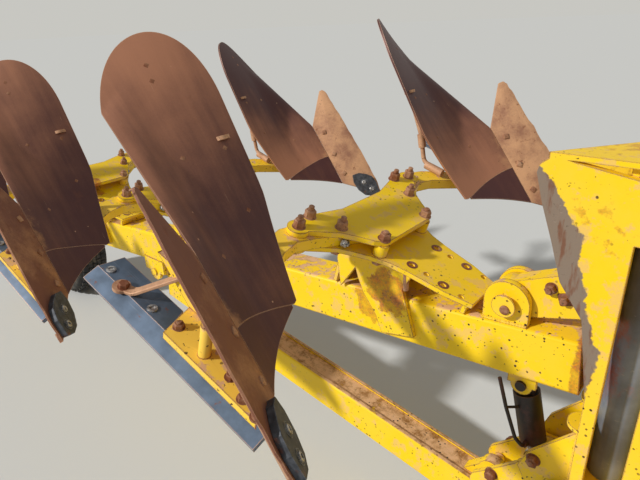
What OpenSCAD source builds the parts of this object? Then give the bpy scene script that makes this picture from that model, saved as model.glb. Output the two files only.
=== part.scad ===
// Mounted reversible mouldboard plough, parked at the quarter turn with its bodies to both sides.
// X points forward, Y to the left, Z up. The turnover axis is parallel to X.

/* [Layout] */
// Number of body pairs along the beam
pairs_n = 3; // [2:1:4]
// Distance between the tips of two pairs, along the beam
body_pitch = 950; // [900:10:1050]
// Height of the turnover axis above the ground
axis_h = 880; // [870:5:980]
// Angle at which the beam falls to the rear
beam_fall = 5.1; // [4:0.1:6]
// Angle at which the bodies' line of travel dips to the front
travel_dip = 18; // [16:0.5:20]

/* [Bodies] */
// Distance from the middle plane to the sole of a body
sole_reach = 818; // [805:1:850]
// Thickness of a mouldboard
board_t = 8; // [6:0.5:12]
// Height of the share, from its edge to the joint with the mouldboard
share_h = 106; // [95:1:115]
// Thickness of a share
share_t = 12; // [9:0.5:16]
// Thickness of the reversible point
point_t = 18; // [14:1:24]
// Highest line of the mouldboard above the sole
board_h = 412; // [380:1:430]
// Length of a mouldboard along its lines
board_l = 802; // [740:1:860]
// Thickness of the landside plate
landside_t = 16; // [10:1:20]
// Thickness of a leg
leg_t = 38; // [30:1:45]
// Thickness of the plates of a frog and a head
plate_t = 18; // [14:1:22]

/* [Frame] */
// Width of the main beam
beam_w = 140; // [130:1:150]
// Height of the main beam
beam_h = 155; // [145:1:165]
// Wall of the main beam
beam_wall = 10; // [8:0.5:14]
// Width of the stay under the beam
stay_w = 110; // [100:1:120]
// Height of the stay
stay_h = 130; // [120:1:135]
// Diameter of the swing pin
swing_pin_d = 44; // [36:1:50]
// Distance between the outsides of the yoke's side plates
yoke_w = 260; // [250:1:270]
// Thickness of the yoke's plates
yoke_t = 20; // [16:1:24]

/* [Hydraulics] */
// Outside diameter of the offset cylinder
offset_bore_d = 100; // [80:1:104]
// Outside diameter of the turnover cylinder
turn_barrel_d = 90; // [75:1:100]
// Outside diameter of the swing cylinder
swing_barrel_d = 76; // [60:1:84]
// Way that the yoke slides up and down from its middle place
offset_travel = 80; // [40:5:90]

/* [Headstock] */
// Diameter of the lower link pins
link_pin_d = 36.6; // [28:0.1:37.4]
// Diameter of the top link hole
top_hole_d = 32; // [25:0.1:32.5]
// Height from the lower link pins to the top link hole
mast_h = 685; // [610:5:700]
// Distance between the shoulders of the lower link pins
link_span = 965; // [900:5:1000]
// Diameter of the turnover shaft
shaft_d = 120; // [100:1:130]
// Outside width of a parking leg
stand_w = 65; // [55:1:70]

/* [Wheel] */
// Diameter of the rear wheel
wheel_d = 660; // [600:5:720]
// Width of the tyre
tyre_w = 200; // [160:5:215]
// Diameter of the rim
rim_d = 400; // [380:5:420]

/* [Hidden] */
$fn = 48;
paint = [0.93, 0.75, 0.05];
bare = [0.45, 0.30, 0.22];
dull = [0.25, 0.26, 0.28];
steel = [0.70, 0.70, 0.70];
// Radial clearance of a pin or shaft in its hole
run = 0.05;
// Side clearance between moving pieces
side_gap = 5;

// Beam: its top line passes this height at X = 0
beam_top = -26.5;
beam_front = 250;
beam_rear = -(pairs_n - 1) * body_pitch - 600;
beam_edge_r = 12;
// Swing pin above the beam's front end
pivot = [50, 38];
cheek_r = 62;
cheek_t = 22;
cheek_gap = 74;
// Stay: front eye, rear eye, as X and Z
stay_front = [50, -605];
stay_rear = [-1700, -388];
// Stay: its top line passes this height at X = 0 and falls to the front
stay_top = -642;
stay_fall = 9;
stay_box_front = 95;
stay_box_rear = -1640;
stay_lug_w = 40;
stay_pin_d = 36;
// Lever at the yoke's lower end and the eyes of the swing cylinder
lever_pivot = [275, -470];
swing_top = [110, -222];
swing_low = [168, -468];
swing_axis = atan2(swing_low[1] - swing_top[1], swing_low[0] - swing_top[0]);
swing_len = norm(swing_low - swing_top);
swing_eye_d = 30;
lever_pin_d = 40;
lever_gap = stay_w / 2 + 8;
lever_t = 16;
open_pin = lever_gap - side_gap - 1;
// Yoke
yoke_top = 474;
yoke_low = -560;
flange_x = 425;
flange_t = 25;
flange_w = 300;
// Turning head
head_plate_x = flange_x + flange_t + side_gap;
head_plate_t = 30;
head_plate_w = 400;
head_top = 250;
bracket_t = 25;
head_low = yoke_low - offset_travel - 3 * side_gap - bracket_t;
// Offset cylinder, on the middle plane: it shows ahead of the yoke's notched side plates
offset_x = 355;
offset_half = 430;
offset_rod_d = 50;
yoke_front = 320;
cross_plate_t = 16;
back_x = offset_x - offset_bore_d / 2 - cross_plate_t - 3;
// Headstock
bearing_x = 505;
bearing_l = 180;
bearing_d = 200;
mast_gap = 220;
mast_t = 20;
link_x = 900;
link_z = -230;
link_shaft_d = link_pin_d + 20;
link_ear = 395;
top_x = 905;
top_z = link_z + mast_h;
cross_x = 690;
cross_w = 120;
cross_h = 140;
cross_low = link_z - 70;
column_x = 830;
// Crank of the turnover on the front of the shaft
crank_x = bearing_x + bearing_l + 30;
crank_t = 25;
// Turnover cylinder: X of its plane, height of its upper eye, radius of the pin on the crank
turn_x = crank_x + 60;
turn_top = 560;
turn_r = 170;
turn_pin_d = 40;
turn_rod_d = 50;
// Parking legs
stand_x = 780;
stand_y = 485;
stand_top = -60;
foot_w = 200;
foot_t = 20;
socket_w = stand_w + 2 * 3 + 24;
// Rear wheel
arm_pivot = [beam_rear + 30, beam_top + (beam_rear + 30) * tan(beam_fall) - beam_h / 2];
wheel_x = beam_rear - 45 - wheel_d / 2;
wheel_z = wheel_d / 2 - axis_h;
arm_pin_d = 50;
axle_d = 50;
front_x = link_x + 60;
mid_x = (front_x + wheel_x - wheel_d / 2) / 2;

// Working surface of a body: u forward, v away from the middle plane, w to the turned side
toe_run = 190;
toe_h = 90;
shin_lean = 0.45;
line_angle = 18.4;
line_twist = 0.06;
tail_h = 245;
seam_gap = 3;
function shin_u(h) = -(toe_run * (1 - exp(-h / toe_h)) + shin_lean * h);
function line_at(h) = line_angle + line_twist * h;
function skin(a, h) = [shin_u(h) - a * cos(line_at(h)), sole_reach - h, a * sin(line_at(h))];
function unit(v) = v / norm(v);
function skin_normal(a, h) = unit(cross(skin(a + 1, h) - skin(a - 1, h), skin(a, h + 1) - skin(a, h - 1)));
function behind(a, h, t) = skin(a, h) - t * skin_normal(a, h);
// Width of the shin piece at a height: it narrows to nothing near the top
function seam(h) = max(0, 150 * (1 - (h - share_h) / (0.56 * board_h)));
// Round tail: share of the full height left at a distance along the lines
function tail_share(a, start) = a < start ? 1 : sqrt(max(0.03, 1 - pow((a - start) / (board_l - start), 2)));
function low_line(a) = tail_h - (tail_h - share_h) * tail_share(a, 0.73 * board_l);
function high_line(a) = tail_h + (board_h - 12 * (a < 300 ? 1 - a / 300 : 0) - tail_h
    - 50 * max(0, 1 - a / 260)) * tail_share(a, 0.66 * board_l);

// Share plane: along the cutting edge, and square to it towards the joint
edge_vec = [-494, 0, 342];
joint_vec = [-1.64 * share_h, -share_h, 0];
share_x = unit(edge_vec);
share_z = unit(cross(share_x, joint_vec));
share_y = cross(share_z, share_x);
share_w = joint_vec * share_y;
joint_x = joint_vec * share_x;
// Outline of the share: along the edge, square to the edge
share_outline = [[0, 0], [60, -16], [270, -28], [530, -27], [592, -14], [610, 12],
                 [476, share_w - 10], [joint_x, share_w]];

module at_row() {
    translate([-mid_x, 0, axis_h]) children();
}
module at_pair(i) {
    at_row() translate((i - 1) * body_pitch * [-cos(beam_fall), 0, -sin(beam_fall)])
        rotate([0, travel_dip, 0]) children();
}
module both_sides() {
    children();
    mirror([0, 1, 0]) children();
}
module in_share_plane() {
    multmatrix([[share_x[0], share_y[0], share_z[0], 0],
                [share_x[1], share_y[1], share_z[1], sole_reach],
                [share_x[2], share_y[2], share_z[2], 0]]) children();
}
// Plate that stands in the X-Z plane: outline as X and Z, from y0 over t towards +Y
module upright(y0, t) {
    translate([0, y0 + t, 0]) rotate([90, 0, 0]) linear_extrude(t) children();
}
module rod_y(x, z, d, y0, y1) {
    translate([x, y0, z]) rotate([-90, 0, 0]) cylinder(d = d, h = y1 - y0);
}
module rod_x(y, z, d, x0, x1) {
    translate([x0, y, z]) rotate([0, 90, 0]) cylinder(d = d, h = x1 - x0);
}
module round_rect(w, h, r) {
    square([w - 2 * r, h], center = true);
    square([w, h - 2 * r], center = true);
    for (x = [-1, 1], y = [-1, 1]) translate([x * (w / 2 - r), y * (h / 2 - r)]) circle(r = r);
}
// Closed sheet between a front grid and a back grid of points, both as rows along the lines
module sheet(front, back) {
    na = len(front) - 1;
    nh = len(front[0]) - 1;
    nb = (na + 1) * (nh + 1);
    pts = concat([for (col = front) for (p = col) p], [for (col = back) for (p = col) p]);
    function id(i, j) = i * (nh + 1) + j;
    face = [for (i = [0:na - 1], j = [0:nh - 1])
        for (t = [[id(i, j), id(i, j + 1), id(i + 1, j + 1)],
                  [id(i, j), id(i + 1, j + 1), id(i + 1, j)]]) t];
    rear = [for (t = face) [t[2] + nb, t[1] + nb, t[0] + nb]];
    ends = [for (j = [0:nh - 1])
        for (t = [[id(0, j), id(0, j) + nb, id(0, j + 1)], [id(0, j + 1), id(0, j) + nb, id(0, j + 1) + nb],
                  [id(na, j), id(na, j + 1), id(na, j) + nb],
                  [id(na, j + 1), id(na, j + 1) + nb, id(na, j) + nb]]) t];
    rims = [for (i = [0:na - 1])
        for (t = [[id(i, 0), id(i + 1, 0), id(i, 0) + nb], [id(i + 1, 0), id(i + 1, 0) + nb, id(i, 0) + nb],
                  [id(i, nh), id(i, nh) + nb, id(i + 1, nh)],
                  [id(i + 1, nh), id(i, nh) + nb, id(i + 1, nh) + nb]]) t];
    polyhedron(points = pts, faces = concat(face, rear, ends, rims), convexity = 6);
}

// Soil-working pieces
board_rows = 7;
board_cols = 13;
function board_a(i) = board_l * (1 - pow(1 - i / board_cols, 1.45));
function board_h_at(a, j) = low_line(a) + (high_line(a) - low_line(a)) * j / board_rows;
function board_point(i, j, t) =
    let (a = board_a(i), h = board_h_at(a, j),
         s = seam(h) + seam_gap, aa = a < 300 ? s + a * (300 - s) / 300 : a)
    behind(aa, h + (j == 0 ? seam_gap : 0), t);
module mouldboard() {
    sheet([for (i = [0:board_cols]) [for (j = [0:board_rows]) board_point(i, j, 0)]],
          [for (i = [0:board_cols]) [for (j = [0:board_rows]) board_point(i, j, board_t)]]);
}
module shin() {
    rows = 5;
    top = share_h + 0.56 * board_h;
    function row_h(j) = share_h + seam_gap + (top - 12 - share_h - seam_gap) * j / rows;
    sheet([for (i = [0:2]) [for (j = [0:rows]) behind(seam(row_h(j)) * i / 2, row_h(j), 0)]],
          [for (i = [0:2]) [for (j = [0:rows]) behind(seam(row_h(j)) * i / 2, row_h(j), board_t)]]);
}
module share() {
    in_share_plane() translate([0, 0, -share_t]) linear_extrude(share_t) polygon(share_outline);
}
// Point: a short forged plate on the share's nose, its outline in the share plane
point_outline = [[10, 6], [62, -4], [100, 2], [122, 20], [146, 50],
                 [152, 84], [118, 96], [72, 93], [32, 75], [12, 46]];
module point_bar() {
    in_share_plane() linear_extrude(point_t) polygon(point_outline);
}
// Landside: a flat plate whose outer edge is bent down along its whole length
module landside() {
    linear_extrude(landside_t)
        polygon([[-706, sole_reach - 30], [-700, sole_reach - 96], [-464, sole_reach - 96],
                 [-440, sole_reach - 44], [-145, sole_reach - 44], [-135, sole_reach - 30]]);
    translate([-708, 0, 0]) rotate([90, 0, 90]) linear_extrude(593)
        polygon([[sole_reach - 32, 0], [sole_reach - 32, landside_t], [sole_reach + 8, landside_t - 20],
                 [sole_reach + 2, -18]]);
}

// Clear distance behind the working surface at a height v and a height w of a plate
function back_u(v, w, gap) =
    let (h = sole_reach - v)
    shin_u(h) - w / tan(line_at(h)) - gap / sin(line_at(h));
// Height w of the share's back at a place u, v, less a gap
function share_under(u, v, gap) =
    edge_vec[2] * (u - joint_vec[0] * (sole_reach - v) / share_h) / edge_vec[0] - (share_t + gap) / share_z[2];
// Frog: a plate on the leg's foot, a packing down to the landside, a rib and a round brace
foot_v = sole_reach - 118;
frog_low = leg_t;
frog_top = leg_t + plate_t;
rib_v = foot_v + 14;
rib_t = 16;
rib_top = 130;
brace = [-310, sole_reach - 30];
brace_d = 26;
module frog() {
    translate([0, 0, frog_low]) linear_extrude(plate_t)
        polygon([[-125, sole_reach - 2], [-408, sole_reach - 2], [-440, foot_v + 16], [-440, foot_v - 60],
                 [-412, foot_v - 110], [back_u(foot_v - 110, frog_top, 14), foot_v - 110],
                 [back_u(foot_v - 50, frog_top, 14), foot_v - 50], [back_u(foot_v, frog_top, 14), foot_v]]);
    translate([0, 0, landside_t]) linear_extrude(frog_low - landside_t + 1)
        polygon([[-300, sole_reach - 24], [-405, sole_reach - 24], [-425, foot_v + 28], [-330, foot_v + 28]]);
    translate([0, rib_v + rib_t, 0]) rotate([90, 0, 0]) linear_extrude(rib_t)
        polygon([[back_u(rib_v, frog_top - 2, 26), frog_top - 2], [back_u(rib_v, rib_top, 14), rib_top],
                 [back_u(rib_v, rib_top, 40), rib_top], [-436, frog_top - 2]]);
    translate([brace[0], brace[1], frog_low + 2])
        cylinder(d = brace_d, h = share_under(brace[0], brace[1], brace_d / 2) - frog_low - 2);
}

// Centre line of a leg from its inner end to its foot: u, share of the way to the foot, half width
leg_line = [[-420, 0.10, 36], [-460, 0.23, 40], [-500, 0.36, 40], [-519, 0.47, 37], [-500, 0.58, 34],
            [-456, 0.69, 31], [-416, 0.80, 33], [-384, 0.90, 36], [-350, 1, 40]];
function leg_mid(k) = [leg_line[k][0], leg_line[k][1] * foot_v];
function leg_side(k, s) =
    let (d = unit(leg_mid(min(len(leg_line) - 1, k + 1)) - leg_mid(max(0, k - 1))))
    leg_mid(k) + s * leg_line[k][2] * [d[1], -d[0]];
module leg() {
    last = len(leg_line) - 1;
    linear_extrude(leg_t) {
        polygon(concat([for (k = [0:last]) leg_side(k, 1)], [for (k = [last:-1:0]) leg_side(k, -1)]));
        translate(leg_mid(0)) circle(r = leg_line[0][2] + 2);
    }
}

// Head: two plates with the legs between them, each with a round-ended arm along each leg
low_t = 16;
head_rear = [[-345, 150], [-384, 175], [-425, 205], [-487, 285], [-547, 285], [-540, 210], [-510, 100]];
head_arm = [-517, 291, 34];
low_front = [[-35, 75], [-120, 98], [-230, 112], [-290, 125]];
low_holes = [-74, -134, -192, -243];
head_bolt = [-335, 116, 44];
// Height w of the beam's top at a distance u, in a body's frame
function beam_w_at(u) = beam_top * cos(travel_dip)
    + (u + beam_top * sin(travel_dip)) * tan(travel_dip + beam_fall);
module head_plate(front) {
    half = concat(front, head_rear);
    polygon(concat(half, [for (k = [len(half) - 1:-1:0]) [half[k][0], -half[k][1]]]));
    for (s = [-1, 1]) translate([head_arm[0], s * head_arm[1]]) circle(r = head_arm[2]);
}
module head() {
    translate([0, 0, leg_t]) linear_extrude(plate_t) head_plate([[-318, 120]]);
    // The lower plate runs forward above the beam and has two rows of holes
    difference() {
        translate([0, 0, -low_t]) linear_extrude(low_t) head_plate(low_front);
        for (u = low_holes, s = [-1, 1]) translate([u, s * 73, -low_t - 1]) cylinder(d = 18, h = low_t + 2);
    }
    both_sides() {
        translate([head_bolt[0], head_bolt[1], -1]) cylinder(d = head_bolt[2], h = leg_t + 2);
        // Cheek on the beam's side, with its forward rib and its rear tab
        upright(beam_w / 2, 15)
            polygon([[-500, 1 - low_t], [-225, 1 - low_t], [-240, -90], [-149, -222], [-254, -284],
                     [-295, -235], [-361, -188], [-395, -150], [-415, -120], [-448, -222], [-490, -130]]);
    }
    // Feet on the beam's top
    for (u = [-490, -62])
        translate([u, -beam_w / 2 - 2, beam_w_at(u + 14) + 0.5])
            cube([14, beam_w + 4, 0.5 - low_t - beam_w_at(u + 14)]);
}

// Frame
module in_beam() {
    at_row() translate([0, 0, beam_top]) rotate([0, -beam_fall, 0]) translate([0, 0, -beam_h / 2]) children();
}
module beam() {
    color(paint) difference() {
        union() {
            in_beam() translate([beam_rear, 0, 0]) rotate([90, 0, 90]) difference() {
                linear_extrude(beam_front - beam_rear) round_rect(beam_w, beam_h, beam_edge_r);
                translate([0, 0, 40])
                    linear_extrude(beam_front - beam_rear)
                        round_rect(beam_w - 2 * beam_wall, beam_h - 2 * beam_wall, 4);
            }
            at_row() both_sides() upright(cheek_gap / 2, cheek_t) {
                translate(pivot) circle(r = cheek_r);
                translate([pivot[0] - cheek_r, beam_top - 10]) square([2 * cheek_r, pivot[1] - beam_top + 10]);
            }
            at_row() both_sides() upright(18, 14) {
                translate(swing_top) circle(r = 30);
                translate([swing_top[0] - 40, swing_top[1]]) square([80, 60]);
            }
            at_row() both_sides() upright(stay_w / 2 + side_gap, 15) {
                translate(stay_rear) circle(r = 45);
                translate([stay_rear[0] - 80, stay_rear[1]]) square([160, 70]);
            }
        }
        at_row() rod_y(pivot[0], pivot[1], swing_pin_d, -80, 80);
        at_row() rod_y(swing_top[0], swing_top[1], swing_eye_d, -80, 80);
        at_row() rod_y(stay_rear[0], stay_rear[1], stay_pin_d, -120, 120);
        at_row() rod_y(arm_pivot[0], arm_pivot[1], arm_pin_d + 2 * run, -120, 120);
    }
    color(bare) at_row() rod_y(stay_rear[0], stay_rear[1], stay_pin_d, -82, 82);
}
module swing_pin() {
    color(bare) at_row() {
        rod_y(pivot[0], pivot[1], swing_pin_d - 2 * run, -75, 75);
        for (y = [-81, 75]) rod_y(pivot[0], pivot[1], swing_pin_d + 20, y, y + 6);
    }
}
module stay() {
    color(paint) at_row() difference() {
        union() {
            translate([0, 0, stay_top]) rotate([0, stay_fall, 0]) translate([stay_box_rear, 0, -stay_h / 2])
                rotate([90, 0, 90]) linear_extrude(stay_box_front - stay_box_rear) difference() {
                    round_rect(stay_w, stay_h, 10);
                    translate([0, stay_h / 2]) square([stay_w - 36, 16], center = true);
                }
            upright(-stay_lug_w / 2, stay_lug_w) {
                translate(stay_rear) circle(r = 42);
                polygon([stay_rear + [0, 40], stay_rear + [90, 0], stay_rear + [90, -80], stay_rear + [0, -42]]);
                translate(stay_front) circle(r = 40);
                polygon([stay_front + [-38, 10], stay_front + [38, 10], stay_front + [44, -80],
                         stay_front + [-110, -60]]);
            }
        }
        rod_y(stay_rear[0], stay_rear[1], stay_pin_d + 2 * run, -stay_w, stay_w);
    }
    // Front pin: its ends stop short of the lever's plates
    color(bare) at_row() rod_y(stay_front[0], stay_front[1], stay_pin_d, -open_pin, open_pin);
}
module lever() {
    color(paint) at_row() difference() {
        both_sides() upright(lever_gap, lever_t) {
            translate(lever_pivot) circle(r = 42);
            translate(stay_front) circle(r = 42);
            translate(swing_low) circle(r = 30);
            polygon([lever_pivot + [0, 40], swing_low + [10, 28], swing_low + [-28, 10], stay_front + [-34, 24],
                     stay_front + [18, -38], lever_pivot + [20, -36]]);
        }
        rod_y(lever_pivot[0], lever_pivot[1], lever_pin_d, -120, 120);
    }
    color(bare) at_row() rod_y(lever_pivot[0], lever_pivot[1], lever_pin_d, -yoke_w / 2 - 12, yoke_w / 2 + 12);
}
module swing_frame() {
    at_row() translate([swing_top[0], 0, swing_top[1]]) rotate([0, 90 - (swing_axis + 90), 0]) children();
}
module swing_barrel() {
    color(dull) swing_frame() difference() {
        union() {
            translate([34, 0, 0]) rotate([0, 90, 0]) cylinder(d = swing_barrel_d, h = swing_len - 88);
            rotate([90, 0, 0]) translate([0, 0, -16]) cylinder(d = 56, h = 32);
            translate([0, -16, -26]) cube([40, 32, 52]);
        }
        translate([50, 0, 0]) rotate([0, 90, 0]) cylinder(d = 44 + 2 * run, h = swing_len);
    }
    color(bare) at_row() rod_y(swing_top[0], swing_top[1], swing_eye_d - 2 * run, -40, 40);
}
module swing_rod() {
    color(steel) swing_frame() {
        union() {
            translate([80, 0, 0]) rotate([0, 90, 0]) cylinder(d = 44, h = swing_len - 94);
            translate([swing_len, 0, 0]) rotate([90, 0, 0]) translate([0, 0, -20]) cylinder(d = 52, h = 40);
            translate([swing_len, 0, 0]) rotate([90, 0, 0]) translate([0, 0, -open_pin])
                cylinder(d = swing_eye_d, h = 2 * open_pin);
        }
    }
}

// Yoke: one side plate, with its own upper rear corner
module yoke_side(corner) {
    difference() {
        polygon(concat(corner, [[306, 438], [flange_x + 1, 421], [flange_x + 1, yoke_low], [262, yoke_low],
                                [290, -400], [288, -232], [288, -113], [250, 95], [190, 177], [161, 265],
                                [127, 357]]));
        translate([yoke_front, -395]) square([flange_x + 2 - yoke_front, 695]);
    }
    translate(lever_pivot) circle(r = 45);
}
module yoke() {
    inside = yoke_w - 2 * yoke_t;
    color(paint) at_row() difference() {
        union() {
            upright(-yoke_w / 2, yoke_t) yoke_side([[107, 425], [112, 445], [136, 465], [166, 460]]);
            upright(yoke_w / 2 - yoke_t, yoke_t) yoke_side([[130, 375], [150, 405], [200, 425]]);
            // Top plate with an oblique rear edge, and the flange
            translate([0, 0, yoke_top - 14]) linear_extrude(14)
                polygon([[128, -yoke_w / 2], [flange_x + flange_t, -yoke_w / 2],
                         [flange_x + flange_t, yoke_w / 2], [318, yoke_w / 2]]);
            translate([flange_x, -flange_w / 2, yoke_low]) cube([flange_t, flange_w, yoke_top - yoke_low]);
            // Cross plate behind the offset cylinder, in two parts, and the webs that hold the cylinder
            for (z = [[60, yoke_top - 12], [-415, -230]])
                translate([back_x, -inside / 2 - 1, z[0]]) cube([cross_plate_t, inside + 2, z[1] - z[0]]);
            for (z = [318, -425])
                translate([back_x + 2, -inside / 2 - 1, z]) cube([flange_x - back_x, inside + 2, 20]);
            // Tongue between the beam's cheeks
            upright(-cheek_gap / 2 + side_gap, cheek_gap - 2 * side_gap) {
                translate(pivot) circle(r = 54);
                polygon([pivot + [0, 54], [back_x + 2, 200], [back_x + 2, 60], pivot + [40, -42], pivot + [0, -54]]);
            }
            both_sides() {
                // Bracket plate inside the side plate, down to the lever's pin
                upright(85, 14)
                    polygon([[back_x + 12, -225], [172, -378], [150, -440], [200, -530], [262, yoke_low + 20],
                             [back_x + 12, yoke_low + 20]]);
                // Half-round lug on the cross plate
                translate([back_x + 4, 62, -245]) linear_extrude(12) difference() {
                    circle(d = 84);
                    translate([0, -50]) square([50, 100]);
                }
            }
        }
        rod_y(pivot[0], pivot[1], swing_pin_d, -cheek_gap, cheek_gap);
        rod_y(lever_pivot[0], lever_pivot[1], lever_pin_d + 2 * run, -yoke_w, yoke_w);
        translate([offset_x, 0, -600]) cylinder(d = offset_bore_d, h = 1050);
    }
}
module offset_barrel() {
    color(dull) at_row() translate([offset_x, 0, -offset_half]) difference() {
        cylinder(d = offset_bore_d, h = 2 * offset_half);
        translate([0, 0, -1]) cylinder(d = offset_rod_d + 2 * run, h = 700);
    }
}
module offset_rod() {
    foot = head_low + bracket_t;
    color(steel) at_row() translate([offset_x, 0, foot])
        cylinder(d = offset_rod_d, h = offset_travel + 155 - offset_half - foot);
}
module turning_head() {
    color(paint) at_row() {
        translate([head_plate_x, -head_plate_w / 2, head_low])
            cube([head_plate_t, head_plate_w, head_top - head_low]);
        both_sides() {
            translate([flange_x - side_gap - 15, flange_w / 2 + side_gap, head_low])
                cube([flange_t + 2 * side_gap + 15, (head_plate_w - flange_w) / 2 - side_gap,
                      head_top - head_low]);
            translate([flange_x - side_gap - 15, yoke_w / 2 + side_gap, head_low + 60])
                cube([15, 40, head_top - head_low - 120]);
        }
        translate([offset_x - 45, -45, head_low]) cube([head_plate_x - offset_x + 46, 90, bracket_t]);
        rod_x(0, 0, shaft_d, head_plate_x, crank_x + crank_t);
        rod_x(0, 0, shaft_d + 60, head_plate_x, bearing_x - side_gap);
        rod_x(0, 0, shaft_d + 50, bearing_x + bearing_l + side_gap, crank_x);
        // Crank of the turnover
        rod_x(0, turn_r, turn_pin_d + 32, crank_x, turn_x - 32);
        translate([crank_x, 0, 0]) rotate([90, 0, 90]) linear_extrude(crank_t)
            polygon([[-70, 0], [70, 0], [36, turn_r], [-36, turn_r]]);
    }
}

// Headstock
module headstock() {
    color(paint) at_row() difference() {
        union() {
            rod_x(0, 0, bearing_d, bearing_x, bearing_x + bearing_l);
            for (x = [bearing_x + 15, bearing_x + bearing_l - 45])
                translate([x, -mast_gap / 2, cross_low]) cube([25, mast_gap, 180 - cross_low]);
            translate([bearing_x + 15, -mast_gap / 2, cross_low]) cube([cross_x - bearing_x, mast_gap, 20]);
            translate([cross_x, 5 - stand_y + socket_w / 2 - 10, cross_low])
                cube([cross_w, 2 * stand_y - socket_w + 10, cross_h]);
            both_sides() {
                translate([stand_x - socket_w / 2, stand_y - socket_w / 2, link_z - 100])
                    cube([socket_w, socket_w, 220]);
                // Ear of the link shaft
                upright(link_ear, 20) {
                    translate([link_x, link_z]) circle(r = 52);
                    translate([cross_x + cross_w - 10, link_z - 52])
                        square([link_x - cross_x - cross_w + 10, 104]);
                }
            }
        }
        rod_x(0, 0, shaft_d + 2 * run, bearing_x - 1, bearing_x + bearing_l + 1);
        both_sides() {
            translate([stand_x - stand_w / 2 - 3, stand_y - stand_w / 2 - 3, link_z - 101])
                cube([stand_w + 6, stand_w + 6, 222]);
            rod_y(link_x, link_z, link_shaft_d, link_ear - 5, link_ear + 25);
        }
    }
}
module mast() {
    color(paint) at_row() difference() {
        union() {
            both_sides() upright(mast_gap / 2, mast_t) difference() {
                union() {
                    translate([bearing_x + 15, cross_low - 20])
                        square([cross_x - bearing_x - 20, 200 - cross_low]);
                    translate([bearing_x + 15, cross_low - 20]) square([column_x + 130 - bearing_x - 15, 260]);
                    polygon([[column_x, cross_low], [column_x + 130, cross_low], [column_x + 130, top_z + 40],
                             [column_x + 90, turn_top + 70], [turn_x - 40, turn_top + 70],
                             [turn_x - 60, turn_top + 50],
                             [turn_x - 60, turn_top - 50], [column_x, turn_top - 60]]);
                }
                translate([cross_x - 0.5, cross_low - 0.5]) square([cross_w + 1, cross_h + 1]);
            }
            // Lugs of the top link on their cross plate
            translate([column_x + 5, -mast_gap / 2, top_z - 70]) cube([20, mast_gap, 140]);
            both_sides() upright(28, 20) {
                translate([top_x, top_z]) circle(r = 42);
                translate([column_x + 20, top_z - 42]) square([top_x - column_x - 20, 84]);
            }
            // Cross plates on both sides of the turnover cylinder's upper eye
            for (x = [turn_x - 48, turn_x + 30])
                translate([x, -mast_gap / 2, turn_top - 45]) cube([18, mast_gap, 105]);
        }
        rod_y(top_x, top_z, top_hole_d, -60, 60);
        // Ways in for the top link pin through the side plates
        both_sides() rod_y(top_x, top_z, top_hole_d + 30, mast_gap / 2 - 5, mast_gap / 2 + mast_t + 5);
        rod_x(0, turn_top, turn_pin_d, turn_x - 60, turn_x + 60);
        both_sides() rod_y(link_x, link_z, link_shaft_d, mast_gap / 2 - 5, mast_gap / 2 + mast_t + 5);
    }
    color(bare) at_row() rod_x(0, turn_top, turn_pin_d, turn_x - 55, turn_x + 55);
}
module link_shaft() {
    color(steel) at_row() {
        rod_y(link_x, link_z, link_pin_d, -link_span / 2 - 60, link_span / 2 + 60);
        rod_y(link_x, link_z, link_shaft_d, -link_span / 2, link_span / 2);
    }
}
// Hydraulic cylinder of the turnover, on the headstock's middle plane, hanging from its upper eye
turn_bore_low = turn_r + 62;
turn_neck = 72;
turn_bore_top = turn_top - turn_neck - 12;
module turn_barrel() {
    color(dull) at_row() difference() {
        union() {
            translate([turn_x, 0, turn_bore_low])
                cylinder(d = turn_barrel_d, h = turn_top - turn_neck - turn_bore_low);
            translate([turn_x, 0, turn_top - turn_neck - 1]) cylinder(d = 44, h = turn_neck - 19);
            rod_x(0, turn_top, 76, turn_x - 25, turn_x + 25);
        }
        rod_x(0, turn_top, turn_pin_d + 2 * run, turn_x - 60, turn_x + 60);
        translate([turn_x, 0, turn_bore_low - 1])
            cylinder(d = turn_rod_d + 2 * run, h = turn_bore_top - turn_bore_low + 1);
    }
}
module turn_rod() {
    color(steel) at_row() {
        translate([turn_x, 0, turn_r + 20]) cylinder(d = turn_rod_d, h = turn_bore_top - 5 - turn_r - 20);
        rod_x(0, turn_r, turn_pin_d + 32, turn_x - 22, turn_x + 22);
        // Eye pin: its end stops short of the boss on the crank
        rod_x(0, turn_r, turn_pin_d, turn_x - 26, turn_x + 32);
    }
}
module stand() {
    color(paint) {
        translate([-stand_w / 2, -stand_w / 2, foot_t - axis_h])
            cube([stand_w, stand_w, stand_top + axis_h - foot_t]);
        translate([-foot_w / 2, -foot_w / 2, -axis_h]) cube([foot_w, foot_w, foot_t]);
    }
}
module wheel_arm() {
    color(paint) at_row() difference() {
        union() {
            both_sides() {
                upright(beam_w / 2 + side_gap, 15) hull_arm();
                upright(tyre_w / 2 + 12, 16) fork_end();
                translate([beam_rear - 40, beam_w / 2 + side_gap, arm_pivot[1] - 50])
                    cube([25, tyre_w / 2 + 28 - beam_w / 2 - side_gap, 100]);
            }
        }
        rod_y(arm_pivot[0], arm_pivot[1], arm_pin_d, -150, 150);
        rod_y(wheel_x, wheel_z, axle_d, -200, 200);
    }
    color(bare) at_row() {
        rod_y(arm_pivot[0], arm_pivot[1], arm_pin_d, -beam_w / 2 - 30, beam_w / 2 + 30);
        rod_y(wheel_x, wheel_z, axle_d, -tyre_w / 2 - 34, tyre_w / 2 + 34);
    }
}
module hull_arm() {
    translate(arm_pivot) circle(r = 50);
    translate([beam_rear - 40, arm_pivot[1] - 50]) square([arm_pivot[0] - beam_rear + 40, 100]);
}
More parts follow.
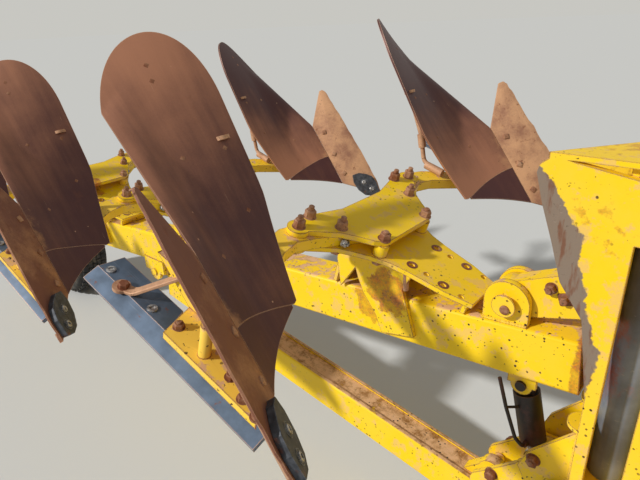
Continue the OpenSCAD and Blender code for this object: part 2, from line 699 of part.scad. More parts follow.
module fork_end() {
    translate([wheel_x, wheel_z]) circle(r = 48);
    polygon([[wheel_x - 30, wheel_z + 38], [wheel_x + 30, wheel_z - 38],
             [beam_rear - 15, arm_pivot[1] - 50], [beam_rear - 15, arm_pivot[1] + 50],
             [beam_rear - 60, arm_pivot[1] + 50]]);
}
module wheel_place() {
    at_row() translate([wheel_x, 0, wheel_z]) rotate([-90, 0, 0]) children();
}
module wheel_rim() {
    color(paint) wheel_place() {
        rotate_extrude() polygon([[axle_d / 2 + run, -90], [55, -90], [55, -20], [rim_d / 2 - 30, -20],
                                  [rim_d / 2 - 30, -tyre_w / 2 + 15], [rim_d / 2, -tyre_w / 2 + 15],
                                  [rim_d / 2, -tyre_w / 2 + 25], [rim_d / 2 - 18, -tyre_w / 2 + 30],
                                  [rim_d / 2 - 18, tyre_w / 2 - 30], [rim_d / 2, tyre_w / 2 - 25],
                                  [rim_d / 2, tyre_w / 2 - 15], [rim_d / 2 - 30, tyre_w / 2 - 15],
                                  [rim_d / 2 - 30, -8], [55, -8], [55, 90], [axle_d / 2 + run, 90]]);
    }
}
module tyre() {
    color([0.1, 0.1, 0.1]) wheel_place() rotate_extrude()
        polygon([[rim_d / 2 - 18, -tyre_w / 2 + 30], [rim_d / 2, -tyre_w / 2 + 25],
                 [rim_d / 2 + 20, -tyre_w / 2 + 4], [rim_d / 2 + 70, -tyre_w / 2],
                 [wheel_d / 2 - 20, -tyre_w / 2 + 12], [wheel_d / 2, -tyre_w / 2 + 36],
                 [wheel_d / 2, -40], [wheel_d / 2 - 12, -36], [wheel_d / 2 - 12, -24], [wheel_d / 2, -20],
                 [wheel_d / 2, 20], [wheel_d / 2 - 12, 24], [wheel_d / 2 - 12, 36], [wheel_d / 2, 40],
                 [wheel_d / 2, tyre_w / 2 - 36], [wheel_d / 2 - 20, tyre_w / 2 - 12],
                 [rim_d / 2 + 70, tyre_w / 2], [rim_d / 2 + 20, tyre_w / 2 - 4],
                 [rim_d / 2, tyre_w / 2 - 25], [rim_d / 2 - 18, tyre_w / 2 - 30]]);
}

for (i = [1:pairs_n]) {
    color(paint) at_pair(i) head();
    color(paint) at_pair(i) both_sides() leg();
    color(paint) at_pair(i) both_sides() frog();
    color(bare) at_pair(i) both_sides() mouldboard();
    color(bare) at_pair(i) both_sides() share();
}
color(bare) for (i = [1:pairs_n]) at_pair(i) both_sides() shin();  // shins
color(dull) for (i = [1:pairs_n]) at_pair(i) both_sides() point_bar();  // points
color(dull) for (i = [1:pairs_n]) at_pair(i) both_sides() landside();  // landsides
beam();
swing_pin();
stay();
lever();
swing_barrel();
swing_rod();
yoke();
offset_barrel();
offset_rod();
turning_head();
headstock();
mast();
link_shaft();
turn_barrel();
turn_rod();
at_row() translate([stand_x, stand_y, 0]) stand();  // stand_left
at_row() translate([stand_x, -stand_y, 0]) stand();  // stand_right
wheel_arm();
wheel_rim();
tyre();
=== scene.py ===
import functools
import itertools
import math
import random

import bmesh
import bpy
from bpy.props import FloatProperty, FloatVectorProperty, IntProperty, PointerProperty
from mathutils import Matrix, Vector


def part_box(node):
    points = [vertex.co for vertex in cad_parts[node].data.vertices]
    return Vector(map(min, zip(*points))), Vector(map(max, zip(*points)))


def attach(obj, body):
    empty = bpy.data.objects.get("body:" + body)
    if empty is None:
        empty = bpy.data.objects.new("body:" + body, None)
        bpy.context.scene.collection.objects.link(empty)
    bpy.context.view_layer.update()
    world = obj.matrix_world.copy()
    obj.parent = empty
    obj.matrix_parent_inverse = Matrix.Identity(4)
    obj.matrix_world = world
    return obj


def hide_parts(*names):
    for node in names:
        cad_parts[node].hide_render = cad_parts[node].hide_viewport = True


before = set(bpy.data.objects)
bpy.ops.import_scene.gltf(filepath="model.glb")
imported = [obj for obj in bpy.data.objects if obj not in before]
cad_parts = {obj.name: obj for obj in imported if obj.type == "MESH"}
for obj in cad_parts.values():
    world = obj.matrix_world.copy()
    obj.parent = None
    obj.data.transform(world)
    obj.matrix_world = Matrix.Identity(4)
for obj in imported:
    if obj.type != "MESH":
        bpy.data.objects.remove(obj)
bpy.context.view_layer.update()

bl_info = {
    "name": "Reversible plough looks",
    "version": (1, 0, 0),
    "blender": (4, 5, 0),
    "location": "View3D > Sidebar > Plough",
    "description": "Dresses the frame of a mounted reversible mouldboard plough",
    "category": "Object",
}

# Side of a body, as the sign of its Y
LEFT, RIGHT = 1, -1


def linear(red, green, blue):
    """A colour given as it looks on a screen, from 0 to 255, as Blender wants it."""
    def channel(value):
        value /= 255
        return value / 12.92 if value <= 0.04045 else ((value + 0.055) / 1.055) ** 2.4
    return channel(red), channel(green), channel(blue)


# Sizes and colours that drive the plough

def length(name, text, default):
    """A driving length in metres."""
    return FloatProperty(name=name, description=text, default=default, min=0, unit="LENGTH")


def angle(name, text, default):
    """A driving angle in degrees."""
    return FloatProperty(name=name, description=text, default=default)


def colour(name, text, default):
    """A colour of a finish."""
    return FloatVectorProperty(name=name, description=text, default=default, subtype="COLOR", size=3,
                               min=0, max=1)


class PloughSizes(bpy.types.PropertyGroup):
    """Driving sizes of the dressed plough, in metres and degrees."""

    pairs: IntProperty(name="Pairs", description="Body pairs along the beam", default=3, min=1)
    pitch: length("Body pitch", "From one pair of bodies to the next", 0.95)
    axis_height: length("Axis height", "Turnover axis above the ground", 0.88)
    beam_fall: angle("Beam fall", "Fall of the beam to the rear, in degrees", 5.1)
    travel_dip: angle("Travel dip", "Dip of the bodies' line of travel, in degrees", 18.0)
    link_reach: length("Link reach", "Link pins ahead of the front tips", 0.9)
    sole_reach: length("Sole reach", "From the middle plane to a body's sole", 0.818)
    share_height: length("Share height", "From the cutting edge to the joint with the board", 0.106)
    share_thickness: length("Share thickness", "Thickness of a share", 0.012)
    point_thickness: length("Point thickness", "Thickness of a point", 0.018)
    board_height: length("Board height", "Highest line of a board above the sole", 0.412)
    board_length: length("Board length", "Length of a board along its lines", 0.802)
    board_thickness: length("Board thickness", "Thickness of a board", 0.008)
    tail_height: length("Tail height", "Height of a board's tail above the sole", 0.245)
    hex_bolt: length("Hex bolt", "Across the flats of a large hex bolt", 0.030)
    square_bolt: length("Square bolt", "Across the flats of a share's square bolt", 0.020)
    edge_radius: length("Edge radius", "Rounding of cut plate edges", 0.0022)


class PloughColours(bpy.types.PropertyGroup):
    """Colours of the plough's finishes."""

    paint: colour("Paint", "Yellow paint in the light", linear(244, 206, 2))
    paint_faded: colour("Faded paint", "Paint that the sun has bleached", linear(246, 204, 86))
    primer: colour("Primer", "Worn, pinkish beige edges", linear(214, 172, 138))
    rust: colour("Rust", "Rust in chips and on bare edges", linear(122, 70, 44))
    # Orange rust, also used as painted shade under the heads, on the beam and inside the yoke
    orange_rust_and_shade: colour("Fresh rust", "Orange rust that runs from joints", linear(200, 104, 32))
    pit: colour("Pits", "Dark pits in the paint", linear(58, 40, 32))
    bare: colour("Bare plate", "Grey-brown plate that has lost its paint", linear(142, 126, 112))
    # Films of a board: the lighter one also serves as painted light and the darker one as painted shade
    soil_steel: colour("Board steel", "Rust film on a mouldboard", linear(176, 122, 94))
    soil_dark_and_shade: colour("Dark board steel", "Darker film on a mouldboard", linear(80, 45, 45))
    soil_film: colour("Dried soil", "Ochre soil dried by the seams", linear(196, 148, 108))
    forged: colour("Forged steel", "New dark steel of the points", linear(92, 96, 104))
    landside: colour("Landside steel", "Blue-grey steel of the landsides", linear(104, 122, 146))
    cylinder: colour("Cylinder paint", "Dark paint of the hydraulic cylinders", linear(134, 144, 160))
    scuff: colour("Scuffs", "Pinkish scuffs on the large cylinder", linear(158, 92, 84))
    rubber: colour("Rubber", "Tyre rubber", linear(38, 38, 40))
    floor: colour("Floor", "Pale studio floor", linear(204, 208, 210))


def sizes():
    """The driving sizes."""
    return bpy.context.scene.plough_sizes


def colours():
    """The colours of the finishes."""
    return bpy.context.scene.plough_colours


# Building materials

class Value:
    """A number in a material: sums and products on it add the Math nodes they stand for."""

    def __init__(self, finish, socket):
        self.finish = finish
        self.socket = socket

    def _math(self, operation, *numbers):
        return self.finish.number("ShaderNodeMath", 0, {"operation": operation}, dict(enumerate(numbers)))

    def __add__(self, other):
        return self._math("ADD", self, other)

    def __sub__(self, other):
        return self._math("SUBTRACT", self, other)

    def __rsub__(self, other):
        return self._math("SUBTRACT", other, self)

    def __mul__(self, other):
        return self._math("MULTIPLY", self, other)

    __radd__ = __add__

    def most(self, other):
        """The larger of two numbers."""
        return self._math("MAXIMUM", self, other)

    def least(self, other):
        """The smaller of two numbers."""
        return self._math("MINIMUM", self, other)

    def step(self, low, high):
        """0 below low, 1 above high and smooth in between; low may be the larger of the two."""
        inputs = {"Value": self, "From Min": low, "From Max": high}
        settings = {"interpolation_type": "SMOOTHSTEP"}
        return self.finish.number("ShaderNodeMapRange", "Result", settings, inputs)


class Finish:
    """A material under construction around its Principled shader."""

    def __init__(self, name):
        self.material = bpy.data.materials.new(name)
        self.material.use_nodes = True
        self.nodes = self.material.node_tree.nodes
        self.links = self.material.node_tree.links
        self.shader = self.nodes["Principled BSDF"]
        self.colour = None
        self.place = self.add("ShaderNodeTexCoord").outputs["Object"]

    def add(self, kind, settings=None, inputs=None):
        """A node of that kind, with its settings made first and then its sockets filled or linked."""
        node = self.nodes.new(kind)
        for name, setting in (settings or {}).items():
            if name == "stops":
                self._fill_ramp(node.color_ramp, setting)
            else:
                setattr(node, name, setting)
        for key, value in (inputs or {}).items():
            self._fill(node.inputs[key], value)
        return node

    def _fill(self, socket, value):
        """Links a socket, or gives it a value."""
        value = value.socket if isinstance(value, Value) else value
        if isinstance(value, bpy.types.NodeSocket):
            self.links.new(value, socket)
        else:
            socket.default_value = value

    def number(self, kind, output, settings=None, inputs=None):
        """One output of a new node, as a number to calculate with."""
        return Value(self, self.add(kind, settings, inputs).outputs[output])

    def vector_math(self, operation, first, second):
        """The number that a Vector Math node makes of two vectors."""
        return self.number("ShaderNodeVectorMath", "Value", {"operation": operation}, {0: first, 1: second})

    @staticmethod
    def _fill_ramp(ramp, stops):
        while len(ramp.elements) < len(stops):
            ramp.elements.new(0.5)
        for element, (position, stop_colour) in zip(ramp.elements, stops):
            element.position = position
            element.color = (*stop_colour, 1)

    def stretched(self, *scale):
        """The object's coordinates, stretched along X, Y and Z."""
        return self.add("ShaderNodeMapping", None, {"Vector": self.place, "Scale": scale}).outputs[0]

    def noise(self, scale, detail, roughness=0.6, place=None):
        """Cloudy noise from 0 to 1, most of it near a half."""
        inputs = {"Vector": place or self.place, "Scale": scale, "Detail": detail, "Roughness": roughness}
        return self.number("ShaderNodeTexNoise", "Fac", None, inputs)

    def cells(self, scale):
        """Distance to the nearest of many scattered points, small in round spots."""
        inputs = {"Vector": self.place, "Scale": scale}
        return self.number("ShaderNodeTexVoronoi", "Distance", None, inputs)

    def edges(self, radius):
        """Nearly 0 on flat faces and up to 1 on edges, from the difference that rounding them makes."""
        rounded = self.add("ShaderNodeBevel", {"samples": 6}, {"Radius": radius}).outputs["Normal"]
        plain = self.add("ShaderNodeNewGeometry").outputs["True Normal"]
        return (1 - self.vector_math("DOT_PRODUCT", rounded, plain)).step(0.01, 0.22)

    def facing(self, axis):
        """How far a face looks along X, Y or Z, from -1 to 1."""
        normal = self.add("ShaderNodeTexCoord").outputs["Normal"]
        return self.number("ShaderNodeSeparateXYZ", axis, None, {0: normal})

    def stored(self, name):
        """A number that the mesh holds at its points."""
        return self.number("ShaderNodeAttribute", "Fac", {"attribute_name": name})

    def along(self, axis):
        """The object's coordinate along X, Y or Z."""
        return self.number("ShaderNodeSeparateXYZ", axis, None, {0: self.place})

    def near(self, centre, radius):
        """1 in a ragged ball round a place given from the front tips, 0 outside it."""
        gap = self.vector_math("DISTANCE", self.place, at_axis(*centre))
        frayed = gap + (self.noise(28, 5) - 0.5) * (radius * PATCH_FRAY)
        return frayed.step(radius, radius * PATCH_CORE)

    def line_over_height(self, points, low, high):
        """X of a bent line at each height, from (height, X) pairs, both given from the front tips."""
        position = (self.along("Z") - at_axis(0, 0, low).z) * (1 / (high - low))
        stops = [((z - low) / (high - low), (x, x, x)) for z, x in points]
        ramp = self.number("ShaderNodeValToRGB", "Color", {"stops": stops}, {"Fac": position})
        return ramp + row_origin().x

    def mix(self, mask, below, above):
        """Colour above where the mask is 1 and below where it is 0."""
        inputs = {"Factor": mask, 6: self._rgba(below), 7: self._rgba(above)}
        return self.add("ShaderNodeMix", {"data_type": "RGBA"}, inputs).outputs[2]

    @staticmethod
    def _rgba(value):
        """A colour as a socket takes it; a link stays as it is."""
        return value if isinstance(value, bpy.types.NodeSocket) else (*value[:3], 1)

    def set(self, **inputs):
        """Fills or links sockets of the shader, with spaces written as underscores."""
        for name, value in inputs.items():
            value = self._rgba(value) if isinstance(value, tuple) else value
            self._fill(self.shader.inputs[name.replace("_", " ")], value)

    def coat(self, mask, above):
        """Covers the running colour with another one where the mask is 1."""
        self.colour = self.mix(mask, self.colour, above)

    def done(self, height, depth, **inputs):
        """The finished material, with its running colour, its relief and the other inputs of the shader."""
        self.set(Base_Color=self.colour, **inputs)
        self.bump(height, depth)
        return self.material

    def bump(self, height, depth):
        """Gives the shader's normal the relief of a height from 0 to 1, that many metres deep."""
        inputs = {"Height": height, "Distance": depth, "Strength": 1.0}
        self.links.new(self.add("ShaderNodeBump", None, inputs).outputs[0], self.shader.inputs["Normal"])


# Finishes; places are given from the front tips, and a step's two numbers say where it begins and ends

PATCH_FRAY = 1.4
PATCH_CORE = 0.86
# Right cheek below each head: rust with painted shade, where the head shades it
CHEEK_RUST_AND_SHADE = (-0.300, -0.085, -0.030)
CHEEK_RUST_AND_SHADE_REACH = 0.080
# Beam beside the first head: rust with painted shade
BEAM_RUST_AND_SHADE = (-0.37, -0.07, -0.10)
BEAM_RUST_AND_SHADE_REACH = 0.075
BEAM_PITS = (0.16, -0.07, -0.08)
BEAM_PITS_REACH = 0.13
# Front end of the beam, which rust and painted shade cover
BEAM_END = (0.234, 0.242)
# Inside the yoke under its top plate: orange rust with painted shade
YOKE_RUST_AND_SHADE = (0.27, 0, 0.36)
YOKE_RUST_AND_SHADE_REACH = 0.13
YOKE_LOW = -0.13
YOKE_HIGH = 0.45
# The square of the distance from the middle plane at which the yoke's side plates begin
YOKE_PLATE_SQUARED = (0.0115, 0.0119)
YOKE_BARE_LINE = [(-0.13, 0.27), (-0.113, 0.288), (-0.033, 0.301), (0.031, 0.300), (0.045, 0.287),
                  (0.104, 0.267), (0.175, 0.247), (0.238, 0.225), (0.300, 0.222), (0.339, 0.195),
                  (0.411, 0.144), (0.45, 0.10)]


def yoke_bare(finish):
    """Plate along the rear edges of the side plates that has lost its paint."""
    line = finish.line_over_height(YOKE_BARE_LINE, YOKE_LOW, YOKE_HIGH)
    ragged = line - finish.along("X") + (finish.noise(30, 5, 0.65) - 0.5) * 0.05
    aside = finish.along("Y")
    return ragged.step(0.0, 0.006) * (aside * aside).step(*YOKE_PLATE_SQUARED)


def beam_rust_and_shade(finish):
    """Rust and painted shade on the beam beside the first head and round its front end."""
    patch = finish.near(BEAM_RUST_AND_SHADE, BEAM_RUST_AND_SHADE_REACH)
    ragged = finish.along("X") + (finish.noise(40, 4) - 0.5) * 0.03
    return patch.most(ragged.step(*(row_origin().x + x for x in BEAM_END)))


def yoke_rust_and_shade(finish):
    """Orange rust and painted shade under the top plate, inside the yoke."""
    return finish.near(YOKE_RUST_AND_SHADE, YOKE_RUST_AND_SHADE_REACH) * 0.7


def head_rust_and_shade(finish):
    """Rust and painted shade that cover the right cheek below each head."""
    x, y, z = CHEEK_RUST_AND_SHADE
    mask = finish.near(CHEEK_RUST_AND_SHADE, CHEEK_RUST_AND_SHADE_REACH)
    for number in range(1, sizes().pairs):
        mask = mask.most(finish.near((x - number * sizes().pitch, y, z), CHEEK_RUST_AND_SHADE_REACH))
    return mask


@functools.cache
def old_paint(name, wear, rust, faded=0.4, top_wear=0.0, bare=None, rust_and_shade=None, pitted=None):
    """Yellow paint with worn edges, blotches, pits, rust and painted shade in places.

    bare and the rust mask are functions that give masks of special places, bare plate and rust with painted
    shade, and pitted is a place with more pits.
    """
    c = colours()
    finish = Finish(name)
    large = finish.noise(3.5, 3)
    medium = finish.noise(22, 5, 0.65)
    fine = finish.noise(160, 4, 0.7)
    edge = finish.edges(0.007)
    paint = finish.mix((large + medium * 0.3).step(0.78, 0.5) * faded, c.paint, c.paint_faded)
    blotch = (medium + fine * 0.25 + large * 0.5 - 0.93).step(-0.02, 0.08) * wear
    finish.colour = finish.mix(blotch * 0.75, paint, c.primer)
    if top_wear:
        upward = finish.facing("Z").step(0.75, 0.92)
        trodden = (medium + large * 0.8 + fine * 0.2).step(1.36 - top_wear, 1.44 - top_wear)
        worn_top = finish.mix((medium + fine * 0.4).step(0.5, 0.8), c.rust, c.primer)
        finish.coat(upward * trodden * 0.9, worn_top)
    line = (edge * 1.3 + medium * 0.6 + fine * 0.25 + wear * 0.2).step(0.98, 1.14)
    finish.coat(line, c.primer)
    chip = (edge * 0.9 + finish.noise(60, 5, 0.7) + rust * 0.3).step(1.30, 1.42)
    finish.coat(chip, c.rust)
    field = (finish.noise(4.5, 3) + rust * 0.3).step(0.52, 0.75)
    if pitted:
        field = field.most(finish.near(pitted, BEAM_PITS_REACH))
    pits = (finish.cells(48) + (fine - 0.5) * 0.25).step(0.19, 0.13) * field * (medium + 0.5).step(0.9, 1.0)
    specks = (finish.noise(85, 3, 0.55) + field * 0.04).step(0.70, 0.73)
    dark = pits.most(specks * field)
    finish.coat(dark, c.pit)
    metal = line * 0.15
    # Rust with painted shade: the masks lie where shade falls under and beside plates, and the rust colours
    # fill them
    if rust_and_shade:
        mask = rust_and_shade(finish) * (medium * 1.6 - 0.15).least(1)
        finish.coat(mask, finish.mix(fine.step(0.35, 0.65), c.orange_rust_and_shade, c.rust))
    if bare:
        mask = bare(finish)
        streak = finish.noise(1, 4, 0.6, finish.stretched(60, 60, 14))
        plate = finish.mix(streak.step(0.5, 0.68) * 0.7, c.bare, c.rust)
        plate = finish.mix(fine.step(0.62, 0.7) * 0.5, plate, c.pit)
        finish.coat(mask, plate)
        metal = metal.most(mask * 0.35)
    height = 1 - line * 0.25 - dark * 0.6 + fine * 0.08 + medium * 0.12
    roughness = 0.40 + line * 0.25 + medium * 0.14
    return finish.done(height, 0.0006, Roughness=roughness, Metallic=metal, Specular_IOR_Level=0.3)


@functools.cache
def board_steel():
    """Rust film on soil-polished steel, paler in painted light and darker in painted shade as the stored
    painted light says, and ochre where seam_wear says so.
    """
    c = colours()
    finish = Finish("board_steel")
    cloud = finish.noise(3.2, 5, 0.55)
    streaks = finish.noise(1.0, 5, 0.6, finish.stretched(3, 34, 3))
    fine = finish.noise(240, 4, 0.65)
    # Painted light and shade: the film is lighter where light falls on a board and darker in its shade
    painted_light_tone = finish.stored("tail_wear") * 0.42
    tone = (cloud * 0.6 + streaks * 0.25 + fine * 0.10 + painted_light_tone).step(0.42, 0.98)
    finish.colour = finish.mix(tone, c.soil_dark_and_shade, c.soil_steel)
    patches = finish.noise(11, 6, 0.7).step(0.60, 0.72)
    finish.coat(patches * 0.22, c.rust)
    scratch = finish.noise(1.0, 2, 0.5, finish.stretched(9, 330, 9)).step(0.735, 0.77)
    finish.coat(scratch * finish.noise(7, 2).step(0.52, 0.6) * 0.55, c.primer)
    nick = finish.cells(15).step(0.05, 0.03) * finish.noise(23, 2).step(0.5, 0.58)
    finish.coat(nick * 0.7, c.primer)
    band = finish.stored("seam_wear")
    soil = (band * 0.55 + finish.noise(26, 6, 0.7) * 0.55 + finish.noise(6, 3) * 0.35).step(0.78, 0.98)
    finish.coat(soil * 0.62, c.soil_film)
    fleck = (finish.noise(90, 4, 0.6) + band * 0.1).step(0.70, 0.75) * band
    finish.coat(fleck * 0.8, c.pit)
    finish.coat(finish.edges(0.0035) * 0.75, c.primer)
    roughness = 0.44 + cloud * 0.16 + soil * 0.25
    height = streaks * 0.25 + fine * 0.2 + soil * 0.3
    return finish.done(height, 0.0004, Roughness=roughness, Metallic=0.3 - soil * 0.2)


@functools.cache
def share_steel():
    """Film on a worn share with a rubbed cutting edge, darker on the right in painted shade and tan on the
    left in painted sunlight.
    """
    c = colours()
    finish = Finish("share_steel")
    cloud = finish.noise(8, 5, 0.6)
    fine = finish.noise(130, 4, 0.65)
    # Painted light: the left shares are lit and tan, the right ones in painted shade; dull and dried are
    # these two tones
    painted_sun_side = finish.along("Y").step(-0.05, 0.05)
    dull = finish.mix((cloud + fine * 0.2).step(0.50, 0.95), linear(126, 80, 62), c.soil_film)
    dried = finish.mix((cloud + fine * 0.2).step(0.40, 0.75), linear(150, 106, 84), linear(206, 160, 122))
    finish.colour = finish.mix(painted_sun_side, dull, dried)
    finish.coat(finish.noise(34, 5, 0.7).step(0.58, 0.68) * 0.7, c.rust)
    finish.coat((fine + cloud * 0.3).step(0.82, 0.88), c.pit)
    finish.coat(finish.edges(0.004) * 0.75, c.primer)
    return finish.done(fine * 0.4 + cloud * 0.3, 0.0006, Roughness=0.55 + cloud * 0.2, Metallic=0.2)


@functools.cache
def rusty_steel(name, light=0.0):
    """Brown rust on bare steel of braces, pins and studs, paler where light is above 0."""
    c = colours()
    finish = Finish(name)
    cloud = finish.noise(18, 5, 0.65)
    fine = finish.noise(150, 4, 0.7)
    finish.colour = finish.mix((cloud + fine * 0.3 + light * 0.3).step(0.56, 1.05) * 0.8, c.rust, c.primer)
    finish.coat((fine * 0.7 + cloud * 0.4).step(0.60, 0.7) * 0.7, c.pit)
    return finish.done(fine + cloud * 0.4, 0.0005, Roughness=0.6 + fine * 0.2, Metallic=0.25)


@functools.cache
def forged_steel():
    """New dark steel with a scaly surface and bright edges."""
    c = colours()
    finish = Finish("forged_steel")
    scale = finish.noise(55, 6, 0.7)
    edge = finish.edges(0.003)
    finish.colour = finish.mix(scale.step(0.35, 0.7), tuple(x * 0.45 for x in c.forged), c.forged)
    finish.coat(edge * scale.step(0.3, 0.6), linear(170, 172, 176))
    finish.coat(finish.noise(18, 4).step(0.62, 0.7) * 0.6, c.rust)
    return finish.done(scale, 0.0006, Roughness=0.45 + scale * 0.2, Metallic=0.7)


@functools.cache
def landside_steel():
    """Blue-grey plate, dull, with a few scratches and rubbed edges."""
    c = colours()
    finish = Finish("landside_steel")
    cloud = finish.noise(9, 5)
    streak = finish.noise(1, 3, 0.5, finish.stretched(4, 90, 4)).step(0.6, 0.75)
    finish.colour = finish.mix(cloud.step(0.35, 0.7), tuple(x * 0.55 for x in c.landside), c.landside)
    finish.coat(streak * 0.3, linear(176, 182, 190))
    finish.coat(finish.edges(0.005) * 0.8, c.primer)
    finish.coat(finish.noise(26, 5, 0.7).step(0.62, 0.72), c.rust)
    return finish.done(cloud * 0.4 + streak * 0.3, 0.0005, Roughness=0.38 + cloud * 0.25, Metallic=0.55)


@functools.cache
def bolt_steel():
    """Bolt heads that are rubbed bright, with a little rust between."""
    c = colours()
    finish = Finish("bolt_bright")
    grain = finish.noise(120, 5, 0.7)
    base = finish.mix(grain.step(0.35, 0.7), tuple(x * 0.6 for x in c.rust), c.primer)
    bright = finish.mix(grain.step(0.4, 0.6), linear(120, 122, 126), linear(196, 198, 200))
    finish.colour = finish.mix((finish.edges(0.002) * 0.5 + 0.9).least(1), base, bright)
    return finish.done(grain, 0.0004, Roughness=0.32 + grain * 0.2, Metallic=0.84)


@functools.cache
def cylinder_paint(name, base, scuffed):
    """Paint of a hydraulic cylinder, with fine scratches and scuffs."""
    c = colours()
    finish = Finish(name)
    cloud = finish.noise(6, 5, 0.6)
    fine = finish.noise(90, 4, 0.65)
    finish.colour = finish.mix(cloud.step(0.3, 0.7), tuple(x * 0.5 for x in base), base)
    scuff = (finish.noise(5, 4, 0.6, finish.stretched(1, 1, 0.5)) + fine * 0.15).step(0.62, 0.74)
    finish.coat(scuff * scuffed, c.scuff)
    scratch = finish.noise(1, 2, 0.5, finish.stretched(50, 50, 240)).step(0.72, 0.77)
    finish.coat(scratch * scuffed * 0.6, linear(200, 204, 208))
    finish.coat(finish.edges(0.004) * 0.6, c.rust)
    roughness = 0.35 + cloud * 0.2 + scuff * 0.15
    return finish.done(fine * 0.4 + scuff * 0.2, 0.0004, Roughness=roughness, Metallic=0.15)


@functools.cache
def chrome():
    """Polished rod with some grime."""
    finish = Finish("rod_chrome")
    grime = finish.noise(30, 4).step(0.5, 0.75)
    finish.set(Base_Color=finish.mix(grime, linear(190, 192, 196), linear(120, 110, 100)),
               Roughness=0.14 + grime * 0.35, Metallic=0.95)
    return finish.material


@functools.cache
def rubber():
    """Tyre rubber with dust on it."""
    finish = Finish("rubber")
    dust = finish.noise(12, 5)
    dusty = finish.mix(dust.step(0.4, 0.75), colours().rubber, linear(92, 86, 78))
    finish.set(Base_Color=dusty, Roughness=0.7 + dust * 0.2)
    finish.bump(finish.noise(140, 3), 0.0005)
    return finish.material


# Meshes

SHARP_ANGLE = 32
BEND_STEPS = 5
WELD_RIPPLE = 0.004
WASHER_LOW = -0.003
WASHER_TOP = 0.001


def outward(mesh_data):
    """The same bmesh, with all its faces turned outward."""
    bmesh.ops.recalc_face_normals(mesh_data, faces=mesh_data.faces)
    return mesh_data


def place(mesh_data, matrix):
    """Moves a bmesh by a matrix and turns its faces outward again."""
    bmesh.ops.transform(mesh_data, matrix=matrix, verts=mesh_data.verts)
    outward(mesh_data)


def copies(build, matrices):
    """A list of equal parts, one at each matrix."""
    parts = []
    for matrix in matrices:
        part = build()
        place(part, matrix)
        parts.append(part)
    return parts


def join(parts):
    """One bmesh from several; the parts are used up."""
    whole = bmesh.new()
    for part in parts:
        mesh = bpy.data.meshes.new("part")
        part.to_mesh(mesh)
        part.free()
        whole.from_mesh(mesh)
        bpy.data.meshes.remove(mesh)
    return whole


def new_object(name, data):
    """A new object in the scene."""
    obj = bpy.data.objects.new(name, data)
    bpy.context.scene.collection.objects.link(obj)
    return obj


def solid(name, mesh_data, material):
    """A new mesh object from a bmesh, which is used up."""
    mesh = bpy.data.meshes.new(name)
    mesh_data.to_mesh(mesh)
    mesh_data.free()
    mesh.materials.append(material)
    return new_object(name, mesh)


def piece(name, mesh_data, material, body="frame", replaced=()):
    """A new piece of the plough from a bmesh in the row frame; it rides on a body."""
    obj = solid(name, mesh_data, material)
    obj.data.shade_smooth()
    obj.data.set_sharp_from_angle(angle=math.radians(SHARP_ANGLE))
    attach(obj, body)
    if replaced:
        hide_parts(*replaced)
    return obj


def rows_to_mesh(front, back):
    """Closed sheet between two equal grids of points."""
    made = bmesh.new()
    grids = [[[made.verts.new(p) for p in row] for row in grid] for grid in (front, back)]
    rows, cols = len(front), len(front[0])
    for grid, turn in zip(grids, (1, -1)):
        for i in range(rows - 1):
            for j in range(cols - 1):
                loop = [grid[i][j], grid[i + 1][j], grid[i + 1][j + 1], grid[i][j + 1]]
                made.faces.new(loop[::turn])
    rim = [(i, 0) for i in range(rows)] + [(rows - 1, j) for j in range(1, cols)]
    rim += [(i, cols - 1) for i in range(rows - 2, -1, -1)] + [(0, j) for j in range(cols - 2, 0, -1)]
    for (i, j), (k, m) in zip(rim, rim[1:] + rim[:1]):
        made.faces.new([grids[0][i][j], grids[0][k][m], grids[1][k][m], grids[1][i][j]])
    return outward(made)


def prism(outline, low, high, bevel):
    """Plate with that outline from height low to high, its edges rounded."""
    made = bmesh.new()
    bottom = [made.verts.new((x, y, low)) for x, y in outline]
    top = [made.verts.new((x, y, high)) for x, y in outline]
    made.faces.new(bottom[::-1])
    made.faces.new(top)
    for k in range(len(outline)):
        n = (k + 1) % len(outline)
        made.faces.new([bottom[k], bottom[n], top[n], top[k]])
    outward(made)
    bmesh.ops.bevel(made, geom=list(made.edges), offset=bevel, segments=2, profile=0.6, affect="EDGES")
    return made


def turned(profile, steps, closed=False):
    """Solid of revolution round Z from (radius, height) points, from axis to axis or as a closed ring."""
    made = bmesh.new()
    rings = []
    for radius, height in profile:
        if radius == 0:
            rings.append([made.verts.new((0, 0, height))])
        else:
            rings.append([made.verts.new((x, y, height)) for x, y in circle(radius, steps)])
    for low, high in zip(rings, rings[1:] + rings[:closed]):
        for k in range(steps):
            n = (k + 1) % steps
            loop = [low[k % len(low)], low[n % len(low)], high[n % len(high)], high[k % len(high)]]
            made.faces.new(list(dict.fromkeys(loop)))
    return outward(made)


def hex_head(across, height, washer=True):
    """Hex bolt head with a chamfered crown, on a washer."""
    radius = across / math.sqrt(3)
    parts = [turned([(0, 0), (radius, 0), (radius, height * 0.86), (radius * 0.84, height), (0, height)], 6)]
    if washer:
        flat = across * 0.68
        parts.append(turned([(0, WASHER_LOW), (flat, WASHER_LOW), (flat, 0.0004), (flat * 0.97, WASHER_TOP),
                             (0, WASHER_TOP)], 28))
        place(parts[0], Matrix.Translation((0, 0, WASHER_TOP)))
    return join(parts)


def hex_nut(across, height, thread_out):
    """Nut on a washer, with the bolt's end standing out of it."""
    radius, top = across * 0.29, height + thread_out
    stem = turned([(0, 0), (radius, 0), (radius, top - 0.0015), (radius * 0.8, top), (0, top)], 16)
    return join([hex_head(across, height), stem])


def square_head(across, height):
    """Square bolt head with worn, rounded corners."""
    half = across / 2
    outline = [(-half, -half), (half, -half), (half, half), (-half, half)]
    return prism(outline, -0.002, height, across * 0.12)


